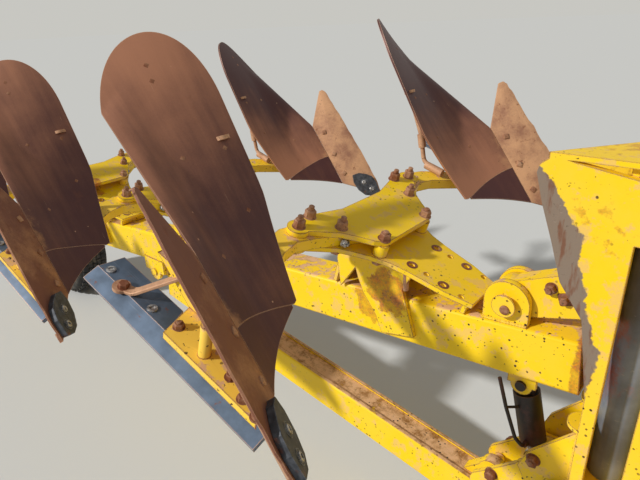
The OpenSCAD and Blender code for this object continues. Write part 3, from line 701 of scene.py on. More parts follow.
def swept(points, section, side=None, swell=()):
    """Closed bar along points, with a section of (across, up) points that swell scales at each point."""
    made = bmesh.new()
    rings = []
    points = [Vector(p) for p in points]
    side = Vector(side) if side else None
    for k, point in enumerate(points):
        ahead = (points[min(k + 1, len(points) - 1)] - points[max(k - 1, 0)]).normalized()
        side = side or ahead.orthogonal().normalized()
        side = (side - ahead * side.dot(ahead)).normalized()
        other = ahead.cross(side)
        size = swell[k] if swell else 1
        rings.append([made.verts.new(point + size * (x * side + y * other)) for x, y in section])
    count = len(section)
    for low, high in zip(rings, rings[1:]):
        for j in range(count):
            n = (j + 1) % count
            made.faces.new([low[j], low[n], high[n], high[j]])
    made.faces.new(rings[0][::-1])
    made.faces.new(rings[-1])
    return outward(made)


def circle(radius, steps):
    """Points of a circle."""
    return [(radius * math.cos(2 * math.pi * k / steps), radius * math.sin(2 * math.pi * k / steps))
            for k in range(steps)]


def tube(points, radius, steps=16):
    """Round bar with closed ends."""
    return swept(points, circle(radius, steps))


def rounded(corners, radius):
    """A path with its corners rounded."""
    corners = [Vector(p) for p in corners]
    path = [corners[0]]
    for before, corner, after in zip(corners, corners[1:], corners[2:]):
        start = corner + (before - corner).normalized() * radius
        end = corner + (after - corner).normalized() * radius
        for k in range(BEND_STEPS + 1):
            t = k / BEND_STEPS
            path.append(start * (1 - t) ** 2 + corner * 2 * t * (1 - t) + end * t ** 2)
    return path + [corners[-1]]


def flat_bar(points, width, thickness, across):
    """Flat bar, its width along a direction."""
    w, t, r = width / 2, thickness / 2, thickness * 0.18
    section = [(w - r, t), (-w + r, t), (-w, t - r), (-w, r - t), (-w + r, -t), (w - r, -t), (w, r - t),
               (w, t - r)]
    return swept(points, section, across)


def weld_bead(start, end, radius, seed):
    """Weld along a joint, with the ripples of its run."""
    start, end = Vector(start), Vector(end)
    draw = random.Random(seed)
    count = max(4, round((end - start).length / WELD_RIPPLE))
    points = [start.lerp(end, k / count) for k in range(count + 1)]
    swell = [0.85 + 0.3 * (k % 2) + 0.15 * draw.random() for k in range(count + 1)]
    return swept(points, circle(radius, 8), None, swell)


def turned_z(degrees):
    """Matrix of a turn round Z."""
    return Matrix.Rotation(math.radians(degrees), 4, "Z")


def facing(origin, direction, twist=0.0):
    """Matrix that puts Z along a direction at a place."""
    turn = Vector(direction).to_track_quat("Z", "Y").to_matrix().to_4x4()
    return Matrix.Translation(origin) @ turn @ turned_z(twist)


# Places

def row_origin():
    """The front tips' level on the turnover axis, in the row frame."""
    low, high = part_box("link_shaft")
    return Vector(((low.x + high.x) / 2 - sizes().link_reach, 0, sizes().axis_height))


def at_axis(x, y, z):
    """A place given from the front tips along the turnover axis, in metres."""
    return row_origin() + Vector((x, y, z))


def flipped(side):
    """Matrix that keeps the left as it is and mirrors it for the right."""
    return Matrix.Diagonal((1, side, 1, 1))


def body_matrix(number, side):
    """From a body's own frame (u forward, v away from the middle, w to the turned side) to the row frame."""
    s = sizes()
    fall = math.radians(s.beam_fall)
    shift = Vector((-math.cos(fall), 0, -math.sin(fall))) * s.pitch * (number - 1)
    turn = Matrix.Rotation(math.radians(s.travel_dip), 4, "Y")
    return Matrix.Translation(row_origin() + shift) @ turn @ flipped(side)


def pair_numbers():
    """Numbers of the pairs from the front."""
    return range(1, sizes().pairs + 1)


# Working surface of a body

TOE_RUN = 0.19
TOE_HEIGHT = 0.09
SHIN_LEAN = 0.45
LINE_ANGLE = 18.4
LINE_TWIST = 60.0
SEAM_GAP = 0.0006
SEAT_LENGTH = 0.32
SEAT_END = 0.72
SEAT_HEIGHT = 0.13
WING_X = 0.476
WING_DROP = 0.010
SHIN_REACH = 0.56
SHIN_WIDTH = 0.15
SHIN_TIP = 0.012
SHIN_ROWS = 24
SHIN_COLS = 8
CUTTING_EDGE = (-0.494, 0, 0.342)
JOINT_RAKE = 1.64
PROBE = 0.001
LOW_TURN = 0.73
HIGH_TURN = 0.66
HIGH_DIPS = [(0.012, 0.3), (0.05, 0.26)]
BOARD_ROWS = 40
BOARD_COLS = 72
TAIL_CROWDING = 1.6
TAIL_TRIM = 0.9997
SEAM_BLEND = 0.3
SOIL_BAND = 0.15
SHARE_EDGE = [(0, 0), (0.06, -0.012), (0.15, -0.016), (0.27, -0.017), (0.4, -0.016), (0.53, -0.014),
              (0.60, -0.010), (0.616, -0.002), (0.618, 0.016)]
EDGE_WAVES = 4
EDGE_WAVE = 0.006
SHARE_BEVEL = 0.0015
GRIND = 0.006
GRIND_START = 0.03
FIRST_SHARE_WEAR = 1.0
OTHER_SHARE_WEAR = 0.6


def shin_u(h):
    """How far forward the shin's edge lies at a height above the sole."""
    return -(TOE_RUN * (1 - math.exp(-h / TOE_HEIGHT)) + SHIN_LEAN * h)


def skin(a, h):
    """Point of the working surface at a distance a along a line at height h above the sole."""
    angle = math.radians(LINE_ANGLE + LINE_TWIST * h)
    return Vector((shin_u(h) - a * math.cos(angle), sizes().sole_reach - h, a * math.sin(angle)))


def share_joint():
    """The rear corner of a share by the sole, from the tip."""
    height = sizes().share_height
    return Vector((-JOINT_RAKE * height, -height, 0))


@functools.cache
def share_axes():
    """Directions of the share plane: along the cutting edge, towards the board, and out of the face."""
    edge = Vector(CUTTING_EDGE).normalized()
    out = edge.cross(share_joint()).normalized()
    return edge, out.cross(edge), out


def share_extent():
    """The joint's corner in the share plane: along the edge, and square to it."""
    edge, across = share_axes()[:2]
    return share_joint().dot(edge), share_joint().dot(across)


def on_share(x, y):
    """Point of the share plane, in the body's own frame."""
    edge, across = share_axes()[:2]
    return Vector((0, sizes().sole_reach, 0)) + edge * x + across * y


@functools.cache
def seat_ends():
    """Toe, wing and tail: the board's lower edge meets the share up to its wing, then returns to the skin."""
    joint_x, depth = share_extent()
    wing = on_share(WING_X, depth - WING_DROP + SEAM_GAP)
    return on_share(joint_x, depth + SEAM_GAP), wing, skin(SEAT_END, low_line(SEAT_END))


def seat(a):
    """Point of the board's lower edge at a distance along it."""
    toe, wing, tail = seat_ends()
    if a < SEAT_LENGTH:
        return toe.lerp(wing, a / SEAT_LENGTH)
    return wing.lerp(tail, (a - SEAT_LENGTH) / (SEAT_END - SEAT_LENGTH))


def face(a, h):
    """Point of a board's face: the skin, drawn forward along its lower edge to meet the share."""
    low = low_line(a)
    t = min(1, max(0, (h - low) / SEAT_HEIGHT))
    pull = 1 - t * t * (3 - 2 * t)
    if a >= SEAT_END or pull == 0:
        return skin(a, h)
    return skin(a, h) + (seat(a) - skin(a, low)) * pull


def along_face(a, h):
    """Direction of a board's face along its line."""
    return (face(a + PROBE, h) - face(a - PROBE, h)).normalized()


def face_normal(a, h):
    """Direction out of a board's face."""
    up = face(a, h + PROBE) - face(a, h - PROBE)
    return (face(a + PROBE, h) - face(a - PROBE, h)).cross(up).normalized()


def behind(a, h, depth):
    """Point behind a board's face."""
    return face(a, h) - face_normal(a, h) * depth


def seam(h):
    """Width of the shin at a height; the board starts there."""
    s = sizes()
    return max(0.0, SHIN_WIDTH * (1 - (h - s.share_height) / (SHIN_REACH * s.board_height)))


def tail_share(a, start):
    """1 up to start, and from there down to 0 at the tail along an ellipse."""
    if a < start:
        return 1.0
    return math.sqrt(max(0.0, 1 - ((a - start) / (sizes().board_length - start)) ** 2))


def low_line(a):
    """Height of a board's lower edge."""
    s = sizes()
    return s.tail_height - (s.tail_height - s.share_height) * tail_share(a, LOW_TURN * s.board_length)


def high_line(a):
    """Height of a board's upper edge."""
    s = sizes()
    top = s.board_height - sum(depth * max(0, 1 - a / reach) for depth, reach in HIGH_DIPS)
    return s.tail_height + (top - s.tail_height) * tail_share(a, HIGH_TURN * s.board_length)


def board_place(i, j):
    """Line distance and height of a grid point of the board; the grid is finer towards the tail."""
    a = sizes().board_length * (1 - (1 - i / BOARD_COLS) ** TAIL_CROWDING) * TAIL_TRIM
    t = j / BOARD_ROWS
    h = low_line(a) + (high_line(a) - low_line(a)) * t
    start = seam(h) + SEAM_GAP
    if a < SEAM_BLEND:
        a = start + a * (SEAM_BLEND - start) / SEAM_BLEND
    return a, h + (SEAM_GAP if j == 0 else 0)


def sheet_mesh(places):
    """Sheet of the board's thickness on a grid of line distances and heights."""
    thickness = sizes().board_thickness
    front = [[face(a, h) for a, h in row] for row in places]
    back = [[behind(a, h, thickness) for a, h in row] for row in places]
    return rows_to_mesh(front, back)


def board_mesh():
    """Mouldboard up to where its rounded tail closes."""
    return sheet_mesh([[board_place(i, j) for j in range(BOARD_ROWS + 1)] for i in range(BOARD_COLS + 1)])


def shin_mesh():
    """Shin piece ahead of the mouldboard, up to where it narrows to nothing."""
    s = sizes()
    low = s.share_height + SEAM_GAP
    high = s.share_height + SHIN_REACH * s.board_height - SHIN_TIP
    heights = [low + (high - low) * j / SHIN_ROWS for j in range(SHIN_ROWS + 1)]
    return sheet_mesh([[(seam(h) * i / SHIN_COLS, h) for h in heights] for i in range(SHIN_COLS + 1)])


def over_board(rule):
    """Numbers of a rule at all points of board_mesh, front and back."""
    places = [board_place(i, j) for i in range(BOARD_COLS + 1) for j in range(BOARD_ROWS + 1)]
    return 2 * [rule(a, h) for a, h in places]


def seam_soil(a, h):
    """Dried soil, most by the share's seam."""
    along = max(0, 1 - a / (SEAT_END + 0.05))
    return max(0, 1 - (h - low_line(a)) / SOIL_BAND) ** 1.5 * along


def painted_tail_light(a, h):
    """Painted light on a right board: lightest at the tail, where light falls on it, darker towards the share
    in painted shade.
    """
    return (a / sizes().board_length) ** 1.5


def painted_front_light(a, h):
    """Painted light on a left board: lightest by the share, where the sun falls on it, darker towards the
    tail in painted shade.
    """
    return 1.9 * max(0, 1 - a / sizes().board_length) ** 1.4 - 0.5


def on_face(a, h):
    """Matrix with Z out of the working surface and X along its line."""
    out = face_normal(a, h)
    along = along_face(a, h)
    axes = Matrix((along, out.cross(along), out)).transposed().to_4x4()
    return Matrix.Translation(face(a, h)) @ axes


def share_matrix():
    """Plane of a share: X along the cutting edge from the tip, Y towards the board, Z out of the face."""
    axes = Matrix(share_axes()).transposed().to_4x4()
    return Matrix.Translation((0, sizes().sole_reach, 0)) @ axes


def share_outline(wear, seed):
    """Outline of a share; the cutting edge and the wing wave a little more on worn ones."""
    joint_x, depth = share_extent()
    draw = random.Random(seed)
    outline = []
    for (x0, y0), (x1, y1) in zip(SHARE_EDGE, SHARE_EDGE[1:]):
        for k in range(EDGE_WAVES):
            t = k / EDGE_WAVES
            wave = wear * (draw.random() - 0.3) * EDGE_WAVE if (x0, k) != (0, 0) else 0
            outline.append((x0 + (x1 - x0) * t, y0 + (y1 - y0) * t + wave))
    return outline + [SHARE_EDGE[-1], (WING_X, depth - WING_DROP), (joint_x, depth)]


def share_mesh(wear, seed):
    """Share: a plate, ground to a bevel along its cutting edge."""
    thickness = sizes().share_thickness
    made = prism(share_outline(wear, seed), -thickness, 0, SHARE_BEVEL)
    for vert in made.verts:
        if vert.co.y < 0 and vert.co.z < -thickness / 2 and vert.co.x > GRIND_START:
            vert.co.z += GRIND
    return made


def mirrored(build, spot):
    """A part at a place of the row frame, and its mirror image across the middle plane."""
    return join(copies(build, [flipped(side) @ spot for side in (LEFT, RIGHT)]))


def on_bodies(build, spots=(Matrix.Identity(4),)):
    """Copies of a part on every body, at matrices in the body's own frame."""
    wanted = itertools.product(pair_numbers(), (LEFT, RIGHT), spots)
    return copies(build, [body_matrix(number, side) @ spot for number, side, spot in wanted])


def fasten(name, build, size, spots, material):
    """A piece of the frame made of equal parts on every body."""
    piece(name, join(on_bodies(lambda: build(*size), spots)), material)


def spots_at(places, w, down=False):
    """Matrices at (u, v) places of a body at a height w, with Z up or down and heads turned at odds."""
    turn = Matrix.Rotation(math.pi, 4, "X") if down else Matrix.Identity(4)
    return [Matrix.Translation((u, v, w)) @ turn @ turned_z(37 * k + 11) for k, (u, v) in enumerate(places)]


# Pieces

BOARD_PLUG = (0.011, 0.0005)
BOARD_PLUGS = [(0.477, 0.245), (0.673, 0.272), (0.713, 0.278), (0.24, 0.2), (0.26, 0.34), (0.42, 0.36)]


class PLOUGH_OT_boards(bpy.types.Operator):
    """Mouldboards with their plugs"""

    bl_idname = "plough.boards"
    bl_label = "Mouldboards"

    def execute(self, context):
        plain = board_mesh()
        soil = over_board(seam_soil) + over_board(seam_soil)
        # Painted light and shade of the boards: the left boards lit by the share, the right ones at the tail
        pale = over_board(painted_front_light) + over_board(painted_tail_light)
        for number in pair_numbers():
            pair = join(copies(plain.copy, [body_matrix(number, side) for side in (LEFT, RIGHT)]))
            obj = piece(f"board_pair_{number}", pair, board_steel(),
                        replaced=[f"mouldboards_{number}"])
            for name, numbers in (("seam_wear", soil), ("tail_wear", pale)):
                obj.data.attributes.new(name, "FLOAT", "POINT").data.foreach_set("value", numbers)
        plain.free()
        plugs = [on_face(a, h) @ turned_z(45) for a, h in BOARD_PLUGS]
        fasten("board_plugs", square_head, BOARD_PLUG, plugs, rusty_steel("plug_steel", 0.2))
        return {"FINISHED"}


class PLOUGH_OT_shins(bpy.types.Operator):
    """Shin pieces ahead of the mouldboards"""

    bl_idname = "plough.shins"
    bl_label = "Shins"

    def execute(self, context):
        parts = on_bodies(shin_mesh)
        piece("shin_plates", join(parts), board_steel(), replaced=["shins"])
        return {"FINISHED"}


SHARE_BOLT_HEIGHT = 0.004
SHARE_BOLTS = [(0.185, 0.115), (0.296, 0.111), (0.419, 0.100)]


class PLOUGH_OT_shares(bpy.types.Operator):
    """Shares with their square bolts"""

    bl_idname = "plough.shares"
    bl_label = "Shares"

    def execute(self, context):
        plane = share_matrix()
        for number in pair_numbers():
            wear = FIRST_SHARE_WEAR if number == 1 else OTHER_SHARE_WEAR
            pair = []
            for side in (LEFT, RIGHT):
                seed = number * 10 + side
                pair += copies(lambda: share_mesh(wear, seed), [body_matrix(number, side) @ plane])
            piece(f"share_pair_{number}", join(pair), share_steel(),
                  replaced=[f"shares_{number}"])
        spots = [plane @ Matrix.Translation((x, y, 0)) @ turned_z(20 + 25 * k)
                 for k, (x, y) in enumerate(SHARE_BOLTS)]
        size = (sizes().square_bolt, SHARE_BOLT_HEIGHT)
        fasten("share_bolts", square_head, size, spots, rusty_steel("share_bolt_steel", 0.6))
        return {"FINISHED"}


POINT_BOLT = (0.0105, 0.005)
POINT_RECESS = (0.0106, 0.0165, 0.0012)
POINT_BOLTS = [(0.092, 0.051), (0.043, 0.034)]
LANDSIDE_TOP = 0.016
LANDSIDE_BOLT = (0.012, 0.004)
LANDSIDE_BOLTS = [(-0.675, 0.773), (-0.51, 0.772)]
PLATE_TOP = 0.056
HEAD_LOW = 0.016
FROG_NUT = (0.020, 0.011, 0.006)
FROG_NUTS = [(-0.40, 0.783), (-0.234, 0.784), (-0.181, 0.800), (-0.137, 0.806), (-0.30, 0.735), (-0.41, 0.66)]
HEX_HEIGHT = 0.018
SLEEVE_NUT = (0.019, 0.008)
SLEEVE_BOLTS = [(-0.335, 0.116)]
ARM_NUT = (0.024, 0.014)
ARM_BOLTS = [(-0.517, 0.291), (-0.444, 0.185), (-0.535, 0.225)]
LEG_NUT = (0.022, 0.012, 0.006)
LEG_NUT_PLACE = (-0.420, 0.187, 0.019)
HOLE_RING = (0.0092, 0.017, 0.0008)
RINGED_HOLES = [(-0.134, 0.073), (-0.243, 0.073)]


def socket_bolt(radius, height):
    """Round bolt head with a sunken socket."""
    inner = radius * 0.5
    return turned([(0, -0.002), (radius, -0.002), (radius, height * 0.8), (radius * 0.85, height),
                   (inner, height), (inner, height * 0.45), (0, height * 0.45)], 28)


def ring(inner, outer, height):
    """Flat ring."""
    return turned([(inner, 0), (outer, 0), (outer, height), (inner, height)], 32, closed=True)


class PLOUGH_OT_body_fasteners(bpy.types.Operator):
    """Bolts and nuts of the points, landsides, frogs and heads"""

    bl_idname = "plough.body_fasteners"
    bl_label = "Body fasteners"

    def execute(self, context):
        across, bright = sizes().hex_bolt, bolt_steel()
        spots = [share_matrix() @ Matrix.Translation((x, y, sizes().point_thickness)) for x, y in POINT_BOLTS]
        fasten("point_bolts", socket_bolt, POINT_BOLT, spots, bright)
        fasten("point_bolt_recesses", ring, POINT_RECESS, spots, forged_steel())
        spots = spots_at(LANDSIDE_BOLTS, LANDSIDE_TOP)
        fasten("landside_bolts", socket_bolt, LANDSIDE_BOLT, spots, bright)
        spots = spots_at(FROG_NUTS, PLATE_TOP)
        fasten("frog_nuts", hex_nut, FROG_NUT, spots, rusty_steel("nut_rust"))
        nuts = on_bodies(lambda: hex_nut(across, *SLEEVE_NUT), spots_at(SLEEVE_BOLTS, PLATE_TOP))
        nuts += on_bodies(lambda: hex_nut(across, *ARM_NUT), spots_at(ARM_BOLTS, PLATE_TOP))
        spots = spots_at(SLEEVE_BOLTS + ARM_BOLTS, -HEAD_LOW, down=True)
        nuts += on_bodies(lambda: hex_head(across, HEX_HEIGHT), spots)
        piece("head_bolts", join(nuts), rusty_steel("head_bolt_rust", 0.45))
        fasten("leg_nuts", hex_nut, LEG_NUT, [facing(LEG_NUT_PLACE, (1, 0, 0), 10)], bright)
        spots = spots_at(RINGED_HOLES, 0.0)
        fasten("hole_rings", ring, HOLE_RING, spots, rusty_steel("ring_rust"))
        return {"FINISHED"}


TIE_PATH = [(-0.606, 0.788, 0.021), (-0.572, 0.778, 0.023)]
TIE_END = (0.262, 0.135)
TIE_ACROSS = (0.67, 0.74, 0)
TIE_WIDTH = 0.026
TIE_THICKNESS = 0.008
TIE_BEND = 0.014
TIE_EYE = 0.021
TIE_BOLT = (0.022, 0.011)
TIE_BOLT_PLACE = (-0.600, 0.786)
TIE_BOLT_LEVEL = 0.025
BRACE_TOP = (0.44, 0.368)
BRACE_KNEE = (-0.597, 0.450, 0.156)
BRACE_FOOT = (-0.548, 0.450, 0.062)
BRACE_EYE = (-0.462, 0.450, 0.055)
BRACE_BEND = 0.02
BRACE_RADIUS = 0.0085
SLEEVE_RADIUS = 0.0145
SLEEVE_LENGTH = 0.05
SOCKET_RADIUS = 0.0150
SOCKET_OFFSET = (0.012, 0, -0.007)
COLLAR_RADIUS = 0.020
COLLAR_HEIGHT = 0.01


def disc(radius, low, high, steps):
    """Round plate square to Z."""
    return turned([(0, low), (radius, low), (radius, high), (0, high)], steps)


class PLOUGH_OT_board_braces(bpy.types.Operator):
    """Braces behind the boards: a flat tie from the landside and a rod from the leg"""

    bl_idname = "plough.board_braces"
    bl_label = "Board braces"

    @staticmethod
    def tie():
        """Flat bar from the landside to the back of the board, with an eye."""
        path = rounded([*TIE_PATH, behind(*TIE_END, sizes().board_thickness)], TIE_BEND)
        eye = disc(TIE_EYE, -TIE_THICKNESS / 2, TIE_THICKNESS / 2, 28)
        place(eye, Matrix.Translation(TIE_PATH[0]))
        return join([flat_bar(path, TIE_WIDTH, TIE_THICKNESS, TIE_ACROSS), eye])

    @staticmethod
    def rod():
        """Bent rod from the leg to the back of the board, with its sleeve, socket and collar."""
        top = behind(*BRACE_TOP, sizes().board_thickness)
        knee, foot, eye = Vector(BRACE_KNEE), Vector(BRACE_FOOT), Vector(BRACE_EYE)
        bar = tube(rounded([top, knee, foot, eye], BRACE_BEND), BRACE_RADIUS)
        down = (foot - knee).normalized()
        sleeve = tube([knee, knee + down * SLEEVE_LENGTH], SLEEVE_RADIUS, 20)
        socket = tube([foot + Vector(SOCKET_OFFSET), eye], SOCKET_RADIUS, 20)
        collar = disc(COLLAR_RADIUS, 0, COLLAR_HEIGHT, 24)
        place(collar, facing(top, top - knee))
        return join([bar, sleeve, socket, collar])

    def execute(self, context):
        parts = on_bodies(self.tie) + on_bodies(self.rod)
        piece("board_braces", join(parts), rusty_steel("brace_rust", 1.0))
        spots = spots_at([TIE_BOLT_PLACE], TIE_BOLT_LEVEL)
        fasten("tie_bolts", hex_head, TIE_BOLT, spots, rusty_steel("nut_rust"))
        return {"FINISHED"}


OUTWARD_RIGHT = (0, -1, 0)
YOKE_BOLT = (0.190, -0.099, -0.395)
YOKE_NUT = (0.018, 0.006)
LEVER_BOLT = (0.074, -0.079, -0.545)
TONGUE_LUG = (0.150, -0.032, 0.104)
TONGUE_LUG_NUT = (0.024, 0.018, 0.006)
TONGUE_SQUARE = (0.187, -0.032, 0.084)
TONGUE_PAD = (0.034, 0.004)
TONGUE_BOLT = (0.019, 0.012)
TONGUE_BOLT_RISE = 0.006
PIN_END = (0.056, 0.081, 0.030)
PIN_PROFILE = [(0, -0.004), (0.013, -0.004), (0.013, 0.004), (0.010, 0.006), (0, 0.006)]
STUD_RADIUS = 0.009
SPARE_STUD = [(-0.2485, -0.078, 0.062), (-0.247, -0.078, -0.012)]
BARREL_PIPE = [(0.0585, -0.062, -0.2000), (0.0865, -0.062, -0.2915), (0.1233, -0.062, -0.3856),
               (0.1449, -0.058, -0.4065), (0.150, -0.034, -0.408)]
PIPE_RADIUS = 0.0055
PIPE_BEND = 0.008
PIPE_UNION = (0.017, 0.018, False)
PIPE_CLAMP = [(0.0865, -0.062, -0.2915), (0.120, -0.028, -0.296)]
CLAMP_RADIUS = 0.004
SWING_CYLINDER = ("swing_cylinder", linear(46, 38, 34), 0.2)


def at_right(build, size, spot, twist=0.0, rise=0.0):
    """A part that stands out to the right at a place given from the front tips."""
    made = build(*size)
    place(made, facing(at_axis(*spot) + Vector(OUTWARD_RIGHT) * rise, OUTWARD_RIGHT, twist))
    return made


class PLOUGH_OT_frame_fasteners(bpy.types.Operator):
    """Bolts, lugs, studs and the pipe round the yoke and the beam"""

    bl_idname = "plough.frame_fasteners"
    bl_label = "Frame fasteners"

    def execute(self, context):
        across = sizes().hex_bolt
        spot = facing(at_axis(*YOKE_BOLT), OUTWARD_RIGHT, 15)
        bolts = mirrored(lambda: hex_nut(across, *YOKE_NUT), spot)
        piece("yoke_bolts", bolts, rusty_steel("nut_rust"), body="yoke")
        spot = facing(at_axis(*LEVER_BOLT), OUTWARD_RIGHT, 40)
        bolts = mirrored(lambda: hex_head(across, HEX_HEIGHT), spot)
        piece("lever_bolts", bolts, rusty_steel("lever_bolt_rust"), body="lever")
        parts = [at_right(hex_nut, TONGUE_LUG_NUT, TONGUE_LUG),
                 at_right(square_head, TONGUE_PAD, TONGUE_SQUARE, 20),
                 at_right(hex_head, TONGUE_BOLT, TONGUE_SQUARE, 5, TONGUE_BOLT_RISE)]
        piece("tongue_fittings", join(parts), rusty_steel("tongue_rust", 0.0), body="yoke")
        x, y, z = PIN_END
        spots = [facing(at_axis(x, side * y, z), (0, side, 0)) for side in (LEFT, RIGHT)]
        ends = copies(lambda: turned(PIN_PROFILE, 24), spots)
        piece("swing_pin_bolts", join(ends), rusty_steel("pin_rust", 0.3))
        stud = tube([at_axis(*p) for p in SPARE_STUD], STUD_RADIUS)
        piece("spare_stud", stud, rusty_steel("brace_rust", 1.0))
        path = [at_axis(*p) for p in BARREL_PIPE]
        pipe = tube(rounded(path, PIPE_BEND), PIPE_RADIUS, 14)
        clamp = tube([at_axis(*p) for p in PIPE_CLAMP], CLAMP_RADIUS, 14)
        union = hex_head(*PIPE_UNION)
        place(union, facing(path[-1], path[-2] - path[-1]))
        piece("barrel_pipe", join([pipe, clamp, union]), cylinder_paint(*SWING_CYLINDER),
              "swing_barrel")
        return {"FINISHED"}


class PLOUGH_OT_welds(bpy.types.Operator):
    """Weld beads along the plates of the beam, heads and yoke"""

    bl_idname = "plough.welds"
    bl_label = "Welds"

    BEAM = [((-0.012, 0.060, -0.024), (0.112, 0.060, -0.014)),
            ((0.070, 0.033, -0.186), (0.150, 0.033, -0.170)),
            ((-1.78, 0.061, -0.345), (-1.62, 0.061, -0.331))]
    YOKE = [((0.284, 0.108, 0.06), (0.284, 0.108, 0.44)),
            ((0.284, 0.098, -0.41), (0.284, 0.098, -0.24)), ((0.423, 0.131, -0.54), (0.423, 0.131, 0.42))]
    HEAD = [((-0.50, 0.0855, -0.018), (-0.24, 0.0855, -0.018))]
    RADIUS = 0.0045

    def beads(self, runs, matrix):
        """Weld beads along the runs and along their mirror images."""
        made = []
        for seed, (start, end) in enumerate(runs):
            bead = functools.partial(weld_bead, start, end, self.RADIUS, seed)
            made += copies(bead, [matrix @ flipped(side) for side in (LEFT, RIGHT)])
        return made

    def execute(self, context):
        home, paint = Matrix.Translation(row_origin()), old_paint("weld_paint", 0.7, 0.8)
        piece("beam_welds", join(self.beads(self.BEAM, home)), paint)
        piece("yoke_welds", join(self.beads(self.YOKE, home)), paint, body="yoke")
        made = []
        for number in pair_numbers():
            made += self.beads(self.HEAD, body_matrix(number, 1))
        piece("head_welds", join(made), paint)
        return {"FINISHED"}


# Vertices of the CAD import that lie closer than this are one
IMPORT_SEAM = 0.00002


def dress(node, material, bevel):
    """Gives a CAD node its finish, welds the seams of its import and rounds its cut edges."""
    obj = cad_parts[node]
    obj.data.materials.clear()
    obj.data.materials.append(material)
    for polygon in obj.data.polygons:
        polygon.material_index = 0
    weld = obj.modifiers.new("weld", "WELD")
    weld.merge_threshold = IMPORT_SEAM
    edges = obj.modifiers.new("edges", "BEVEL")
    edges.width = bevel
    edges.segments = 2
    edges.limit_method = "ANGLE"
    edges.angle_limit = math.radians(SHARP_ANGLE)
    edges.use_clamp_overlap = True
    edges.harden_normals = True


class PLOUGH_OT_steel_nodes(bpy.types.Operator):
    """Finishes of the points, landsides, pins and rods"""

    bl_idname = "plough.steel_nodes"
    bl_label = "Points, landsides, pins"

    def execute(self, context):
        dress("points", forged_steel(), 0.002)
        dress("landsides", landside_steel(), 0.002)
        dress("swing_pin", old_paint("pin_paint", 1.0, 1.0, 0.6), 0.001)
        dress("link_shaft", rusty_steel("pin_rust", 0.3), 0.001)
        for node in ("offset_rod", "turn_rod", "swing_rod"):
            dress(node, chrome(), 0.0008)
        return {"FINISHED"}


HEADSTOCK_PAINTED = ("turning_head", "headstock", "mast", "stand_left", "stand_right", "wheel_arm",
                     "wheel_rim")


class PLOUGH_OT_painted_nodes(bpy.types.Operator):
    """Finishes of the painted frame"""

    bl_idname = "plough.painted_nodes"
    bl_label = "Painted frame"

    def execute(self, context):
        edge = sizes().edge_radius
        for number in pair_numbers():
            dress(f"head_{number}", old_paint("head_paint", 0.55, 0.4, 0.3, 0.05, rust_and_shade=head_rust_and_shade), edge)
            dress(f"legs_{number}", old_paint("leg_paint", 0.8, 0.7, 0.6, 0.35), edge)
            dress(f"frogs_{number}", old_paint("frog_paint", 0.8, 0.7, 0.9, 0.42), edge)
        beam = old_paint("beam_paint", 0.55, 0.5, 0.2, 0.36, rust_and_shade=beam_rust_and_shade, pitted=BEAM_PITS)
        dress("beam", beam, edge)
        dress("stay", old_paint("stay_paint", 0.6, 0.6, 0.25, 0.62), edge)
        dress("lever", old_paint("lever_paint", 0.6, 0.7), edge)
        dress("yoke", old_paint("yoke_paint", 0.6, 0.45, 0.35, 0.0, yoke_bare, yoke_rust_and_shade), edge)
        for node in HEADSTOCK_PAINTED:
            dress(node, old_paint("headstock_paint", 0.4, 0.4), edge)
        return {"FINISHED"}


class PLOUGH_OT_cylinders(bpy.types.Operator):
    """Finishes of the hydraulic cylinders"""

    bl_idname = "plough.cylinders"
    bl_label = "Cylinders"

    def execute(self, context):
        c = colours()
        dress("offset_barrel", cylinder_paint("offset_cylinder", tuple(c.cylinder), 0.9), 0.002)
        dress("turn_barrel", cylinder_paint("turn_cylinder", tuple(c.cylinder), 0.3), 0.002)
        dress("swing_barrel", cylinder_paint(*SWING_CYLINDER), 0.002)
        return {"FINISHED"}


TREAD_DEPTH = 0.009
TREAD_BLOCKS = 44
TREAD_FILL = 0.40
TREAD_SLANT = 0.004
TREAD_ROOT = 0.004
TREAD_BEVEL = 0.0012
TREAD_SINK = 0.0004
SHOULDER_SINK = 0.0035
TYRE_WALL = [(-0.018, 0.030), (0, 0.025), (0.010, 0.010), (0.030, 0.002), (0.070, 0), (0.095, 0.003)]
TYRE_SHOULDER = (0.024, 0.010)
TYRE_CROWN = 0.034
TREAD_ROWS = [(-0.078, -0.046), (-0.040, -0.016), (-0.011, 0.011), (0.016, 0.040), (0.046, 0.078)]


def tyre_mesh():
    """Tyre round Z with its tread cut into rows of blocks, from the sizes of its CAD solid."""
    low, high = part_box("tyre")
    outer, half = (high.z - low.z) / 2, (high.y - low.y) / 2
    rim_low, rim_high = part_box("wheel_rim")
    rim = (rim_high.z - rim_low.z) / 2
    floor = outer - TREAD_DEPTH
    side = [(rim + r, z - half) for r, z in TYRE_WALL]
    side += [(outer - TYRE_SHOULDER[0], TYRE_SHOULDER[1] - half), (floor, TYRE_CROWN - half)]
    parts = [turned(side + [(r, -z) for r, z in side[::-1]], 96, closed=True)]
    reach = 2 * math.pi * outer / TREAD_BLOCKS * TREAD_FILL
    quarter = math.radians(90)
    for row, (start, end) in enumerate(TREAD_ROWS):
        top = outer - TREAD_SINK - SHOULDER_SINK * (row in (0, len(TREAD_ROWS) - 1))
        outline = [(-reach, start), (reach, start + TREAD_SLANT), (reach, end), (-reach, end - TREAD_SLANT)]
        turns = [2 * math.pi * (k + 0.5 * (row % 2)) / TREAD_BLOCKS for k in range(TREAD_BLOCKS)]
        block = functools.partial(prism, outline, floor - TREAD_ROOT, top, TREAD_BEVEL)
        parts += copies(block, [Matrix.Rotation(turn, 4, "Z") @ Matrix.Rotation(quarter, 4, "Y")
                                @ Matrix.Rotation(quarter, 4, "Z") for turn in turns])
    return join(parts)


